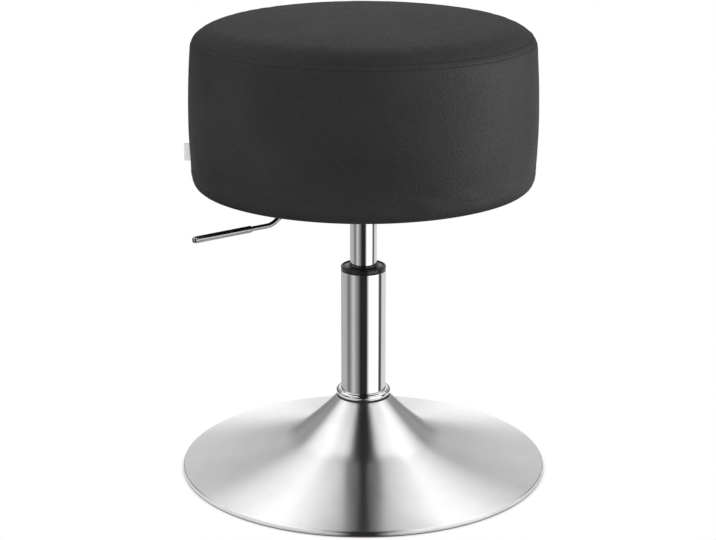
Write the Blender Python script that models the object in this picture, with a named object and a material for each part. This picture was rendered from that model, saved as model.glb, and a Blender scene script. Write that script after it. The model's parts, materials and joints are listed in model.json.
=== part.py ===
"""Swivel vanity stool: a thick round upholstered seat on a gas lift, over a trumpet base.

Z is the column's axis and the floor is at Z = 0. Sizes are in metres.
The stool stands at its lowest height, with the release lever to the left and front.
"""

import math

import bmesh
import bpy
from mathutils import Vector

# Clearances
FIT_GAP = 0.0003
SLIDE_GAP = 0.0003
MERGE_DISTANCE = 0.000001

# Trumpet base
BASE_RADIUS = 0.1925
BASE_HEIGHT = 0.0782
SHELL_WALL = 0.0015
RIM_LIP_HEIGHT = 0.0014
RIM_INSIDE_ROUND = 0.0003
SKIRT_SLOPE = math.radians(7.0)
SKIRT_REACH = 0.105
NECK_SLOPE = math.radians(50.0)
NECK_REACH = 0.052
NECK_LAND = 0.0042
FLOOR_RING_HEIGHT = 0.0020
FLOOR_RING_INSET = 0.0008
FLOOR_RING_SEAT = 0.006
BOTTOM_PLATE_THICKNESS = 0.004
BOTTOM_PLATE_HEADROOM = 0.0005

# Column and its foot
COLUMN_RADIUS = 0.0235
COLUMN_WALL = 0.0015
COLUMN_LENGTH = 0.2044
COLLAR_WIDTH = 0.0049
COLLAR_HEIGHT = 0.0080
COLLAR_FULLNESS = 2.6
CAP_HEIGHT = 0.0045
CAP_DOME = 0.0015
CAP_EDGE_ROUND = 0.0012
CAP_SPIGOT_DEPTH = 0.005
CAP_SPIGOT_WALL = 0.0019
GUIDE_SLEEVE_LENGTH = 0.080
FOOT_FLANGE_RADIUS = 0.050
FOOT_FLANGE_THICKNESS = 0.005
FOOT_SPIGOT_HEIGHT = 0.0124
FOOT_SCREW_COUNT = 4
FOOT_SCREW_RADIUS = 0.003
FOOT_SCREW_HEAD_RADIUS = 0.006
FOOT_SCREW_HEAD_HEIGHT = 0.003
HEX_SOCKET_RADIUS = 0.002
HEX_SOCKET_DEPTH = 0.0016

# Swivel bearing and piston rod
RACE_THICKNESS = 0.002
RACE_EDGE_GAP = 0.0012
BALL_RADIUS = 0.002
BALL_COUNT = 10
CAGE_THICKNESS = 0.0016
CAGE_EDGE = 0.0015
ROD_RADIUS = 0.005
ROD_TAIL_RADIUS = 0.004
ROD_TAIL_END = 0.0015
CLIP_GROOVE_DEPTH = 0.0008
CLIP_RADIUS = 0.008
CLIP_THICKNESS = 0.0012
CLIP_HOLE_CLEARANCE = 0.004
BUMP_STOP_RADIUS = 0.012
BUMP_STOP_HEIGHT = 0.008
PISTON_HEIGHT = 0.012
PISTON_NECK_RADIUS = 0.003
PISTON_HEADROOM = 0.006
PISTON_RIVET_HEIGHT = 0.0015

# Gas lift
LIFT_TUBE_RADIUS = 0.014
LIFT_TUBE_WALL = 0.0015
LIFT_TUBE_LENGTH = 0.2537
TAPER_LENGTH = 0.024
TAPER_NARROWING = 0.0007
CYLINDER_RADIUS = 0.010
CYLINDER_WALL = 0.0012
TUBE_CRIMP = 0.001
ROD_SEAL_HEIGHT = 0.006
ROD_GUIDE_HEIGHT = 0.010
VALVE_HEIGHT = 0.030
PIN_RADIUS = 0.0028
PIN_STICKOUT = 0.0046
PIN_FOOT_ROOM = 0.006

# Seat mechanism and release lever
SOCKET_WALL = 0.0047
SOCKET_GRIP = 0.023
LEVER_AZIMUTH = math.radians(215.0)
LEVER_ROD_RADIUS = 0.0025
LEVER_PIN_GAP = 0.0004
LEVER_FINGER_PAST = 0.003
PIVOT_STANDOFF = 0.008
HUB_RADIUS = 0.0045
HUB_WIDTH = 0.0056
HUB_DROP = 0.001
HUB_CLEARANCE = 0.0008
PIVOT_PIN_RADIUS = 0.002
PIVOT_HEAD_RADIUS = 0.0032
PIVOT_HEAD_HEIGHT = 0.0012
BRACKET_WALL = 0.002
BRACKET_WEB_GAP = 0.001
BRACKET_MARGIN = 0.0025
LEVER_KNEE_OFFSET = 0.087
LEVER_KNEE_DROP = 0.0039
LEVER_BEND_OFFSET = 0.1126
LEVER_BEND_DROP = 0.0208
LEVER_REACH = 0.2036
LEVER_TIP_DROP = 0.0222
LEVER_BEND_ROUND = 0.008
GRIP_RADIUS = 0.00345
GRIP_LENGTH = 0.067
GRIP_END_WALL = 0.003
SEAT_PLATE_SIDE = 0.150
SEAT_PLATE_THICKNESS = 0.0025
SEAT_PLATE_CORNER = 0.014
PLATE_BOLT_SPACING = 0.120
BOLT_RADIUS = 0.003
BOLT_FLANGE_RADIUS = 0.007
BOLT_FLANGE_HEIGHT = 0.0012
BOLT_HEAD_RADIUS = 0.0058
BOLT_HEAD_HEIGHT = 0.004
BOLT_END_INSET = 0.001
TEE_NUT_RADIUS = 0.0042
TEE_NUT_FLANGE_RADIUS = 0.009
TEE_NUT_FLANGE_HEIGHT = 0.0012
TEE_NUT_FOOT = 0.001

# Seat
SEAT_RADIUS = 0.1781
SEAT_SIDE_HEIGHT = 0.1420
WIDEST_HEIGHT = 0.0656
TOP_DRAW_IN = 0.0033
BOTTOM_DRAW_IN = 0.0016
SHOULDER_WIDTH = 0.0479
SHOULDER_HEIGHT = 0.0239
CROWN_TILT = math.radians(10.2)
HEEL_WIDTH = 0.0141
HEEL_HEIGHT = 0.0274
HEEL_FULLNESS = 3.7
SEAM_RISE = 0.0050
SEAM_DIP = 0.0008
SEAM_TURN_IN = 0.0030
COVER_THICKNESS = 0.0012
COVER_LIP = 0.022
BOARD_INSET = 0.014
BOARD_THICKNESS = 0.012
DUST_COVER_THICKNESS = 0.0005
DUST_COVER_OVERLAP = 0.008
TAB_HEIGHT = 0.0185
TAB_REACH = 0.0065
TAB_THICKNESS = 0.0009
TAB_CENTRE_HEIGHT = 0.0315

# How finely round shapes are cut
LARGE_ROUND = 40
COLUMN_ROUND = 28
SMALL_ROUND = 20
TINY_ROUND = 12

# Heights that follow from the stack of pieces, from the floor up
RIM_LOW = FLOOR_RING_HEIGHT + FIT_GAP
BOTTOM_PLATE_HIGH = RIM_LOW + BOTTOM_PLATE_THICKNESS
FOOT_LOW = BOTTOM_PLATE_HIGH + FIT_GAP
FOOT_HIGH = FOOT_LOW + FOOT_FLANGE_THICKNESS
SPIGOT_HIGH = FOOT_HIGH + FOOT_SPIGOT_HEIGHT
COLUMN_LOW = FOOT_HIGH + FIT_GAP
COLUMN_HIGH = COLUMN_LOW + COLUMN_LENGTH
CLIP_HIGH = FOOT_LOW - FIT_GAP
CLIP_LOW = CLIP_HIGH - CLIP_THICKNESS
LOWER_RACE_LOW = SPIGOT_HIGH + FIT_GAP
LOWER_RACE_HIGH = LOWER_RACE_LOW + RACE_THICKNESS
BALL_CENTRE = LOWER_RACE_HIGH + FIT_GAP + BALL_RADIUS
UPPER_RACE_LOW = BALL_CENTRE + BALL_RADIUS + FIT_GAP
UPPER_RACE_HIGH = UPPER_RACE_LOW + RACE_THICKNESS
BUMP_LOW = UPPER_RACE_HIGH + FIT_GAP
BUMP_HIGH = BUMP_LOW + BUMP_STOP_HEIGHT
TUBE_LOW = BUMP_HIGH + FIT_GAP
TUBE_HIGH = TUBE_LOW + LIFT_TUBE_LENGTH
SEAL_LOW = TUBE_LOW + TUBE_CRIMP
SEAL_HIGH = SEAL_LOW + ROD_SEAL_HEIGHT
GUIDE_LOW = SEAL_HIGH + FIT_GAP
GUIDE_HIGH = GUIDE_LOW + ROD_GUIDE_HEIGHT
VALVE_LOW = TUBE_HIGH - VALVE_HEIGHT
PISTON_HIGH = VALVE_LOW - FIT_GAP - PISTON_HEADROOM
PISTON_LOW = PISTON_HIGH - PISTON_HEIGHT
PIN_HIGH = TUBE_HIGH + PIN_STICKOUT
LEVER_HEIGHT = PIN_HIGH + LEVER_PIN_GAP + LEVER_ROD_RADIUS
PIVOT_HEIGHT = LEVER_HEIGHT - HUB_DROP
SEAT_PLATE_LOW = PIVOT_HEIGHT + HUB_RADIUS + HUB_CLEARANCE
SEAT_PLATE_HIGH = SEAT_PLATE_LOW + SEAT_PLATE_THICKNESS
DUST_LOW = SEAT_PLATE_HIGH + FIT_GAP
DUST_HIGH = DUST_LOW + DUST_COVER_THICKNESS
SEAT_LOW = DUST_HIGH + FIT_GAP

# Radii that follow from what a piece fits in or around
COLUMN_BORE = COLUMN_RADIUS - COLUMN_WALL
COLUMN_HOLE = COLUMN_RADIUS + FIT_GAP
SPIGOT_RADIUS = COLUMN_BORE - FIT_GAP
RACE_RADIUS = SPIGOT_RADIUS - RACE_EDGE_GAP
TAIL_HOLE = ROD_TAIL_RADIUS + SLIDE_GAP
BALL_CIRCLE = (RACE_RADIUS + TAIL_HOLE) / 2
CLIP_GROOVE_RADIUS = ROD_TAIL_RADIUS - CLIP_GROOVE_DEPTH
LIFT_TUBE_BORE = LIFT_TUBE_RADIUS - LIFT_TUBE_WALL
TUBE_PLUG = LIFT_TUBE_BORE - FIT_GAP
GUIDE_BORE = LIFT_TUBE_RADIUS + SLIDE_GAP
CYLINDER_BORE = CYLINDER_RADIUS - CYLINDER_WALL
TAPER_TOP_RADIUS = LIFT_TUBE_RADIUS - TAPER_NARROWING
SOCKET_RADIUS = LIFT_TUBE_RADIUS + FIT_GAP + SOCKET_WALL
PIVOT_OFFSET = SOCKET_RADIUS + PIVOT_STANDOFF
FOOT_SCREW_CIRCLE = (COLUMN_RADIUS + FOOT_FLANGE_RADIUS) / 2


# Outlines, as lists of (radius, height) points


def bezier(start, start_handle, end_handle, end, steps):
    """Points along a cubic curve, both ends included."""
    points = []
    for step in range(steps + 1):
        t = step / steps
        weights = ((1 - t) ** 3, 3 * t * (1 - t) ** 2, 3 * t * t * (1 - t), t**3)
        corners = (start, start_handle, end_handle, end)
        radius = sum(w * c[0] for w, c in zip(weights, corners))
        height = sum(w * c[1] for w, c in zip(weights, corners))
        points.append((radius, height))
    return points


def ellipse_arc(centre, radii, start, end, steps, fullness=2.0):
    """Points along part of an ellipse, or of a fuller or leaner curve of that family."""
    power = 2.0 / fullness
    points = []
    for step in range(steps + 1):
        angle = start + (end - start) * step / steps
        across, up = math.cos(angle), math.sin(angle)
        across = math.copysign(abs(across) ** power, across)
        up = math.copysign(abs(up) ** power, up)
        points.append((centre[0] + radii[0] * across, centre[1] + radii[1] * up))
    return points


def ring(inner, outer, low, high):
    """A plain ring's closed outline."""
    return [(inner, high), (outer, high), (outer, low), (inner, low)]


def inside(outline, distance):
    """Shift an outline that runs outwards and down, towards its inner side."""
    normals = []
    for (r0, z0), (r1, z1) in zip(outline, outline[1:]):
        length = math.hypot(r1 - r0, z1 - z0)
        normals.append(Vector(((z1 - z0) / length, (r0 - r1) / length)))
    shifted = []
    for index, (radius, height) in enumerate(outline):
        before = normals[max(index - 1, 0)]
        after = normals[min(index, len(normals) - 1)]
        mitre = (before + after).normalized()
        move = mitre * (distance / mitre.dot(after))
        on_axis = radius == 0.0
        shifted.append((0.0 if on_axis else radius + move.x, height + move.y))
    return shifted


def radius_at(outline, height):
    """The radius where an outline first passes a height."""
    for (r0, z0), (r1, z1) in zip(outline, outline[1:]):
        if z0 != z1 and min(z0, z1) <= height <= max(z0, z1):
            return r0 + (r1 - r0) * (height - z0) / (z1 - z0)
    raise ValueError("the outline doesn't reach that height")


def height_at(outline, radius):
    """The height where an outline first passes a radius."""
    return radius_at([(height, across) for across, height in outline], radius)


def shell_outline():
    """The outside of the trumpet, from the column hole out and down to the rim."""
    rim_round = SHELL_WALL + RIM_INSIDE_ROUND
    rim_centre = (BASE_RADIUS - rim_round, RIM_LOW + RIM_LIP_HEIGHT)
    rim_start = math.pi / 2 - SKIRT_SLOPE
    rim = ellipse_arc(rim_centre, (rim_round, rim_round), rim_start, 0.0, 3)
    neck = (COLUMN_HOLE + NECK_LAND, BASE_HEIGHT)
    neck_handle = (
        neck[0] + NECK_REACH * math.cos(NECK_SLOPE),
        neck[1] - NECK_REACH * math.sin(NECK_SLOPE),
    )
    skirt_handle = (
        rim[0][0] - SKIRT_REACH * math.cos(SKIRT_SLOPE),
        rim[0][1] + SKIRT_REACH * math.sin(SKIRT_SLOPE),
    )
    flare = bezier(neck, neck_handle, skirt_handle, rim[0], 12)
    return [(COLUMN_HOLE, BASE_HEIGHT)] + flare + rim[1:] + [(BASE_RADIUS, RIM_LOW)]


def seat_outlines():
    """The outside of the cover's top panel and of its side panel, and where the board sits."""
    shoulder_low = SEAT_LOW + SEAT_SIDE_HEIGHT
    shoulder_radius = SEAT_RADIUS - TOP_DRAW_IN
    centre = (shoulder_radius - SHOULDER_WIDTH, shoulder_low)
    radii = (SHOULDER_WIDTH, SHOULDER_HEIGHT)
    flattest = math.atan2(SHOULDER_HEIGHT, SHOULDER_WIDTH * math.tan(CROWN_TILT))
    seam_angle = math.asin(SEAM_RISE / SHOULDER_HEIGHT)
    turn_angle = SEAM_TURN_IN / SHOULDER_HEIGHT

    shoulder = ellipse_arc(centre, radii, flattest, seam_angle + turn_angle, 6)
    edge_radius, edge_height = shoulder[0]
    crown_rise = edge_radius * math.tan(CROWN_TILT) / 2
    crown = []
    for share in (0.0, 0.35, 0.7):
        crown.append((edge_radius * share, edge_height + crown_rise * (1 - share**2)))
    seam = ellipse_arc(centre, radii, seam_angle, seam_angle, 1)[0]
    dip = (seam[0] - SEAM_DIP, seam[1])

    below = ellipse_arc(centre, radii, seam_angle - turn_angle, 0.0, 1)
    heel_high = SEAT_LOW + HEEL_HEIGHT
    widest = SEAT_LOW + WIDEST_HEIGHT
    side = []
    for share in (0.5, 1.0):
        height = shoulder_low + (widest - shoulder_low) * share
        side.append((SEAT_RADIUS - TOP_DRAW_IN * (1 - share) ** 2, height))
    for share in (0.5, 1.0):
        height = widest + (heel_high - widest) * share
        side.append((SEAT_RADIUS - BOTTOM_DRAW_IN * share**2, height))
    heel_radius = SEAT_RADIUS - BOTTOM_DRAW_IN
    heel_centre = (heel_radius - HEEL_WIDTH, heel_high)
    heel = ellipse_arc(
        heel_centre, (HEEL_WIDTH, HEEL_HEIGHT), 0.0, -math.pi / 2, 6, HEEL_FULLNESS
    )
    board_radius = heel_radius - BOARD_INSET
    lip_end = (board_radius - COVER_LIP, SEAT_LOW)
    top_panel = crown + shoulder + [(dip[0], dip[1] + FIT_GAP / 2)]
    side_panel = [(dip[0], dip[1] - FIT_GAP / 2)] + below + side + heel[1:] + [lip_end]
    return top_panel, side_panel, board_radius


# Making pieces


def clear_scene():
    for item in list(bpy.data.objects):
        bpy.data.objects.remove(item, do_unlink=True)
    for mesh in list(bpy.data.meshes):
        bpy.data.meshes.remove(mesh)


def finish_material(name, colour, roughness, metallic=0.0):
    material = bpy.data.materials.new(name)
    material.use_nodes = True
    shader = material.node_tree.nodes["Principled BSDF"]
    shader.inputs["Base Color"].default_value = (*colour, 1.0)
    shader.inputs["Roughness"].default_value = roughness
    shader.inputs["Metallic"].default_value = metallic
    return material


def axis_empty(name, parent=None, location=(0.0, 0.0, 0.0), turn=0.0):
    """An empty that stands for a joint's axis or a group's frame."""
    empty = bpy.data.objects.new(name, None)
    empty.parent = parent
    empty.location = location
    empty.rotation_euler.z = turn
    bpy.context.collection.objects.link(empty)
    return empty


def piece(name, mesh, material, parent, location=(0.0, 0.0, 0.0), turn=(0.0, 0.0, 0.0)):
    """A named object from a mesh, with its finish, set in its parent's frame."""
    mesh.shade_smooth()
    mesh.set_sharp_from_angle(angle=math.radians(32.0))
    if not mesh.materials:
        mesh.materials.append(material)
    item = bpy.data.objects.new(name, mesh)
    item.parent = parent
    item.location = location
    item.rotation_euler = turn
    bpy.context.collection.objects.link(item)
    return item


def mesh_from(shape, name):
    """Close a bmesh's seams, point its faces out and make it a mesh."""
    bmesh.ops.remove_doubles(shape, verts=shape.verts, dist=MERGE_DISTANCE)
    bmesh.ops.recalc_face_normals(shape, faces=shape.faces)
    mesh = bpy.data.meshes.new(name)
    shape.to_mesh(mesh)
    shape.free()
    return mesh


def add_turned(shape, outline, rounds, centre=(0.0, 0.0)):
    """Spin an outline about an upright axis. An outline that starts on the axis also ends there."""
    points = [shape.verts.new((centre[0] + r, centre[1], z)) for r, z in outline]
    pairs = list(zip(points, points[1:]))
    first_radius, _ = outline[0]
    if first_radius > 0.0:
        pairs.append((points[-1], points[0]))
    edges = [shape.edges.new(pair) for pair in pairs]
    bmesh.ops.spin(
        shape,
        geom=points + edges,
        cent=(centre[0], centre[1], 0.0),
        axis=(0.0, 0.0, 1.0),
        angle=2 * math.pi,
        steps=rounds,
        use_merge=True,
    )


def turned_mesh(name, outline, rounds):
    shape = bmesh.new()
    add_turned(shape, outline, rounds)
    return mesh_from(shape, name)


def turned(name, outline, material, parent, rounds=SMALL_ROUND, **place):
    return piece(name, turned_mesh(name, outline, rounds), material, parent, **place)


def guide_shape(name, mesh, parent, **place):
    """A shape that only cuts or joins another piece, so it doesn't show."""
    item = piece(name, mesh, None, parent, **place)
    item.hide_render = True
    item.display_type = "WIRE"
    return item


def turned_guide(name, outline, parent, centres=((0.0, 0.0),), rounds=SMALL_ROUND, **place):
    shape = bmesh.new()
    for centre in centres:
        add_turned(shape, outline, rounds, centre)
    return guide_shape(name, mesh_from(shape, name), parent, **place)


def combine(item, guide, operation):
    """Cut a guide shape out of a piece, or join it on."""
    step = item.modifiers.new(operation.lower() + "_" + guide.name, "BOOLEAN")
    step.operation = operation
    step.object = guide
    step.solver = "EXACT"


def finished_mesh(item):
    """A copy of a piece's mesh with its cuts made. The piece itself goes."""
    bpy.context.view_layer.update()
    graph = bpy.context.evaluated_depsgraph_get()
    mesh = bpy.data.meshes.new_from_object(item.evaluated_get(graph))
    bpy.data.objects.remove(item)
    return mesh


def block_mesh(name, low, high):
    shape = bmesh.new()
    bmesh.ops.create_cube(shape, size=1.0)
    size = Vector(high) - Vector(low)
    bmesh.ops.scale(shape, vec=size, verts=shape.verts)
    bmesh.ops.translate(shape, vec=(Vector(high) + Vector(low)) / 2, verts=shape.verts)
    return mesh_from(shape, name)


def rod_outline(radius, low, high):
    return [(0.0, high), (radius, high), (radius, low), (0.0, low)]


def on_circle(radius, count):
    """Evenly spaced places on a circle."""
    places = []
    for index in range(count):
        angle = 2 * math.pi * index / count
        places.append((radius * math.cos(angle), radius * math.sin(angle)))
    return places


def bolt_places():
    half = PLATE_BOLT_SPACING / 2
    return [(half, half), (-half, half), (-half, -half), (half, -half)]


def rounded_path(corners, bend_radius, steps):
    """A path through corner points, with each inner corner rounded."""
    corners = [Vector(corner) for corner in corners]
    path = [corners[0]]
    for before, corner, after in zip(corners, corners[1:], corners[2:]):
        inwards = (before - corner).normalized()
        onwards = (after - corner).normalized()
        set_back = bend_radius / math.tan(inwards.angle(onwards) / 2)
        start = corner + inwards * set_back
        end = corner + onwards * set_back
        for step in range(steps + 1):
            t = step / steps
            path.append(start * (1 - t) ** 2 + corner * 2 * t * (1 - t) + end * t * t)
    path.append(corners[-1])
    return path


def tube_mesh(name, path, radius):
    """A round bar along a path, with closed ends."""
    curve = bpy.data.curves.new(name, "CURVE")
    curve.dimensions = "3D"
    curve.bevel_depth = radius
    curve.bevel_resolution = 4
    curve.use_fill_caps = True
    spline = curve.splines.new("POLY")
    spline.points.add(len(path) - 1)
    for point, place in zip(spline.points, path):
        point.co = (*place, 1.0)
    bar = bpy.data.objects.new(name, curve)
    bpy.context.collection.objects.link(bar)
    mesh = finished_mesh(bar)
    shape = bmesh.new()
    shape.from_mesh(mesh)
    return mesh_from(shape, name)


# The base, which stands on the floor


def make_base(frame, finishes):
    outside = shell_outline()
    inner = inside(outside, SHELL_WALL)
    turned("base_shell", outside + inner[::-1], finishes["satin_chrome"], frame, LARGE_ROUND)

    neck_low = BASE_HEIGHT - SHELL_WALL * 2
    under_skirt = [(radius, height) for radius, height in inner if height < neck_low]
    plate_radius = radius_at(under_skirt, BOTTOM_PLATE_HIGH + BOTTOM_PLATE_HEADROOM)
    plate = turned(
        "bottom_plate",
        ring(CLIP_RADIUS + CLIP_HOLE_CLEARANCE, plate_radius, RIM_LOW, BOTTOM_PLATE_HIGH),
        finishes["dark_steel"],
        frame,
        LARGE_ROUND,
    )
    turned(
        "floor_ring",
        ring(
            plate_radius - FLOOR_RING_SEAT,
            BASE_RADIUS - FLOOR_RING_INSET,
            0.0,
            FLOOR_RING_HEIGHT,
        ),
        finishes["rubber"],
        frame,
        LARGE_ROUND,
    )
    foot = turned(
        "column_foot",
        [
            (TAIL_HOLE, SPIGOT_HIGH),
            (SPIGOT_RADIUS, SPIGOT_HIGH),
            (SPIGOT_RADIUS, FOOT_HIGH),
            (FOOT_FLANGE_RADIUS, FOOT_HIGH),
            (FOOT_FLANGE_RADIUS, FOOT_LOW),
            (TAIL_HOLE, FOOT_LOW),
        ],
        finishes["dark_steel"],
        frame,
        COLUMN_ROUND,
    )
    make_foot_screws(frame, finishes, plate, foot)


def make_foot_screws(frame, finishes, plate, foot):
    places = on_circle(FOOT_SCREW_CIRCLE, FOOT_SCREW_COUNT)
    hole = FOOT_SCREW_RADIUS + FIT_GAP
    head_hole = FOOT_SCREW_HEAD_RADIUS + FIT_GAP
    head_high = RIM_LOW + FOOT_SCREW_HEAD_HEIGHT
    past = FIT_GAP
    hole_outline = [
        (0.0, FOOT_HIGH + past),
        (hole, FOOT_HIGH + past),
        (hole, head_high),
        (head_hole, RIM_LOW),
        (head_hole, RIM_LOW - past),
        (0.0, RIM_LOW - past),
    ]
    holes = turned_guide("foot_screw_holes", hole_outline, frame, places, TINY_ROUND)
    combine(plate, holes, "DIFFERENCE")
    combine(foot, holes, "DIFFERENCE")

    screw_outline = [
        (0.0, FOOT_HIGH - RIM_LOW),
        (FOOT_SCREW_RADIUS, FOOT_HIGH - RIM_LOW),
        (FOOT_SCREW_RADIUS, FOOT_SCREW_HEAD_HEIGHT),
        (FOOT_SCREW_HEAD_RADIUS, FIT_GAP),
        (0.0, FIT_GAP),
    ]
    sample = turned("foot_screw", screw_outline, finishes["dark_steel"], None, TINY_ROUND)
    socket_outline = rod_outline(HEX_SOCKET_RADIUS, 0.0, FIT_GAP + HEX_SOCKET_DEPTH)
    socket = turned_guide("foot_screw_socket", socket_outline, None, rounds=6)
    combine(sample, socket, "DIFFERENCE")
    mesh = finished_mesh(sample)
    bpy.data.objects.remove(socket)
    for number, (x, y) in enumerate(places, 1):
        name = f"foot_screw_{number}"
        piece(name, mesh, finishes["dark_steel"], frame, location=(x, y, RIM_LOW))


def make_column(frame, finishes):
    turned(
        "column_tube",
        ring(COLUMN_BORE, COLUMN_RADIUS, COLUMN_LOW, COLUMN_HIGH),
        finishes["chrome"],
        frame,
        COLUMN_ROUND,
    )
    collar_low = BASE_HEIGHT + FIT_GAP
    collar_middle = (COLUMN_HOLE, collar_low + COLLAR_HEIGHT / 2)
    collar_radii = (COLLAR_WIDTH, COLLAR_HEIGHT / 2)
    half_round = ellipse_arc(
        collar_middle, collar_radii, math.pi / 2, -math.pi / 2, 6, COLLAR_FULLNESS
    )
    turned("base_collar", half_round, finishes["chrome"], frame, COLUMN_ROUND)

    cap_low = COLUMN_HIGH + FIT_GAP
    cap_high = cap_low + CAP_HEIGHT
    spigot_low = COLUMN_HIGH - CAP_SPIGOT_DEPTH
    spigot_bore = SPIGOT_RADIUS - CAP_SPIGOT_WALL
    edge_centre = (COLUMN_RADIUS - CAP_EDGE_ROUND, cap_high - CAP_EDGE_ROUND)
    edge = ellipse_arc(edge_centre, (CAP_EDGE_ROUND, CAP_EDGE_ROUND), math.pi / 2, 0.0, 3)
    cap_outline = [(GUIDE_BORE, cap_high + CAP_DOME)] + edge
    cap_outline += [(COLUMN_RADIUS, cap_low), (SPIGOT_RADIUS, cap_low)]
    cap_outline += [(SPIGOT_RADIUS, spigot_low), (spigot_bore, spigot_low)]
    cap_outline += [(spigot_bore, cap_low), (GUIDE_BORE, cap_low)]
    turned("column_cap", cap_outline, finishes["black_plastic"], frame, COLUMN_ROUND)

    sleeve_low = COLUMN_HIGH - GUIDE_SLEEVE_LENGTH
    step_height = spigot_low - FIT_GAP
    step_radius = spigot_bore - FIT_GAP
    sleeve_outline = [
        (GUIDE_BORE, COLUMN_HIGH),
        (step_radius, COLUMN_HIGH),
        (step_radius, step_height),
        (SPIGOT_RADIUS, step_height),
        (SPIGOT_RADIUS, sleeve_low),
        (GUIDE_BORE, sleeve_low),
    ]
    turned("guide_sleeve", sleeve_outline, finishes["white_plastic"], frame, COLUMN_ROUND)


# The swivel bearing and what turns in it


def make_bearing(frame, spindle, finishes):
    steel = finishes["bright_steel"]
    lower_race = ring(TAIL_HOLE, RACE_RADIUS, LOWER_RACE_LOW, LOWER_RACE_HIGH)
    turned("bearing_lower_race", lower_race, steel, frame)
    upper_race = ring(TAIL_HOLE, RACE_RADIUS, UPPER_RACE_LOW, UPPER_RACE_HIGH)
    turned("bearing_upper_race", upper_race, steel, spindle)

    half = CAGE_THICKNESS / 2
    cage_ring = ring(
        BALL_CIRCLE - BALL_RADIUS - CAGE_EDGE,
        BALL_CIRCLE + BALL_RADIUS + CAGE_EDGE,
        BALL_CENTRE - half,
        BALL_CENTRE + half,
    )
    cage = turned("bearing_cage", cage_ring, steel, frame)
    balls = bmesh.new()
    for x, y in on_circle(BALL_CIRCLE, BALL_COUNT):
        made = bmesh.ops.create_icosphere(balls, subdivisions=1, radius=BALL_RADIUS)
        bmesh.ops.translate(balls, vec=(x, y, BALL_CENTRE), verts=made["verts"])
    combine(cage, guide_shape("bearing_balls", mesh_from(balls, "bearing_balls"), frame), "UNION")


def make_spindle(spindle, finishes):
    steel = finishes["bright_steel"]
    rod_low = CLIP_LOW - ROD_TAIL_END
    groove_high = CLIP_HIGH + FIT_GAP / 2
    groove_low = CLIP_LOW - FIT_GAP / 2
    neck_low = PISTON_LOW - FIT_GAP
    rod = [
        (0.0, PISTON_HIGH + PISTON_RIVET_HEIGHT),
        (PISTON_NECK_RADIUS, PISTON_HIGH + PISTON_RIVET_HEIGHT),
        (PISTON_NECK_RADIUS, neck_low),
        (ROD_RADIUS, neck_low),
        (ROD_RADIUS, BUMP_LOW),
        (ROD_TAIL_RADIUS, BUMP_LOW),
        (ROD_TAIL_RADIUS, groove_high),
        (CLIP_GROOVE_RADIUS, groove_high),
        (CLIP_GROOVE_RADIUS, groove_low),
        (ROD_TAIL_RADIUS, groove_low),
        (ROD_TAIL_RADIUS, rod_low),
        (0.0, rod_low),
    ]
    turned("piston_rod", rod, steel, spindle)
    clip = ring(CLIP_GROOVE_RADIUS + FIT_GAP, CLIP_RADIUS, CLIP_LOW, CLIP_HIGH)
    turned("rod_clip", clip, finishes["dark_steel"], spindle)
    bump_stop = ring(ROD_RADIUS + FIT_GAP, BUMP_STOP_RADIUS, BUMP_LOW, BUMP_HIGH)
    turned("bump_stop", bump_stop, finishes["rubber"], spindle)
    piston = ring(
        PISTON_NECK_RADIUS + FIT_GAP, CYLINDER_BORE - SLIDE_GAP, PISTON_LOW, PISTON_HIGH
    )
    turned("piston", piston, finishes["black_plastic"], spindle)


# The gas lift, whose tube carries the seat


def make_gas_lift(lift, valve, finishes):
    steel = finishes["bright_steel"]
    tube = [
        (LIFT_TUBE_BORE, TUBE_HIGH),
        (TAPER_TOP_RADIUS, TUBE_HIGH),
        (LIFT_TUBE_RADIUS, TUBE_HIGH - TAPER_LENGTH),
        (LIFT_TUBE_RADIUS, TUBE_LOW),
        (LIFT_TUBE_BORE, TUBE_LOW),
    ]
    turned("lift_tube", tube, finishes["chrome"], lift, COLUMN_ROUND)
    cylinder = ring(CYLINDER_BORE, CYLINDER_RADIUS, GUIDE_HIGH + FIT_GAP, VALVE_LOW - FIT_GAP)
    turned("gas_cylinder", cylinder, steel, lift)
    rod_hole = ROD_RADIUS + SLIDE_GAP
    guide = ring(rod_hole, TUBE_PLUG, GUIDE_LOW, GUIDE_HIGH)
    turned("rod_guide", guide, finishes["white_plastic"], lift)
    turned("rod_seal", ring(rod_hole, TUBE_PLUG, SEAL_LOW, SEAL_HIGH), finishes["rubber"], lift)
    body = ring(PIN_RADIUS + SLIDE_GAP, TUBE_PLUG, VALVE_LOW, TUBE_HIGH)
    turned("valve_body", body, steel, lift)
    pin = rod_outline(PIN_RADIUS, VALVE_LOW + PIN_FOOT_ROOM, PIN_HIGH)
    turned("release_pin", pin, steel, valve, TINY_ROUND)


# The seat mechanism, whose frame has the lever along its X axis


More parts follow.
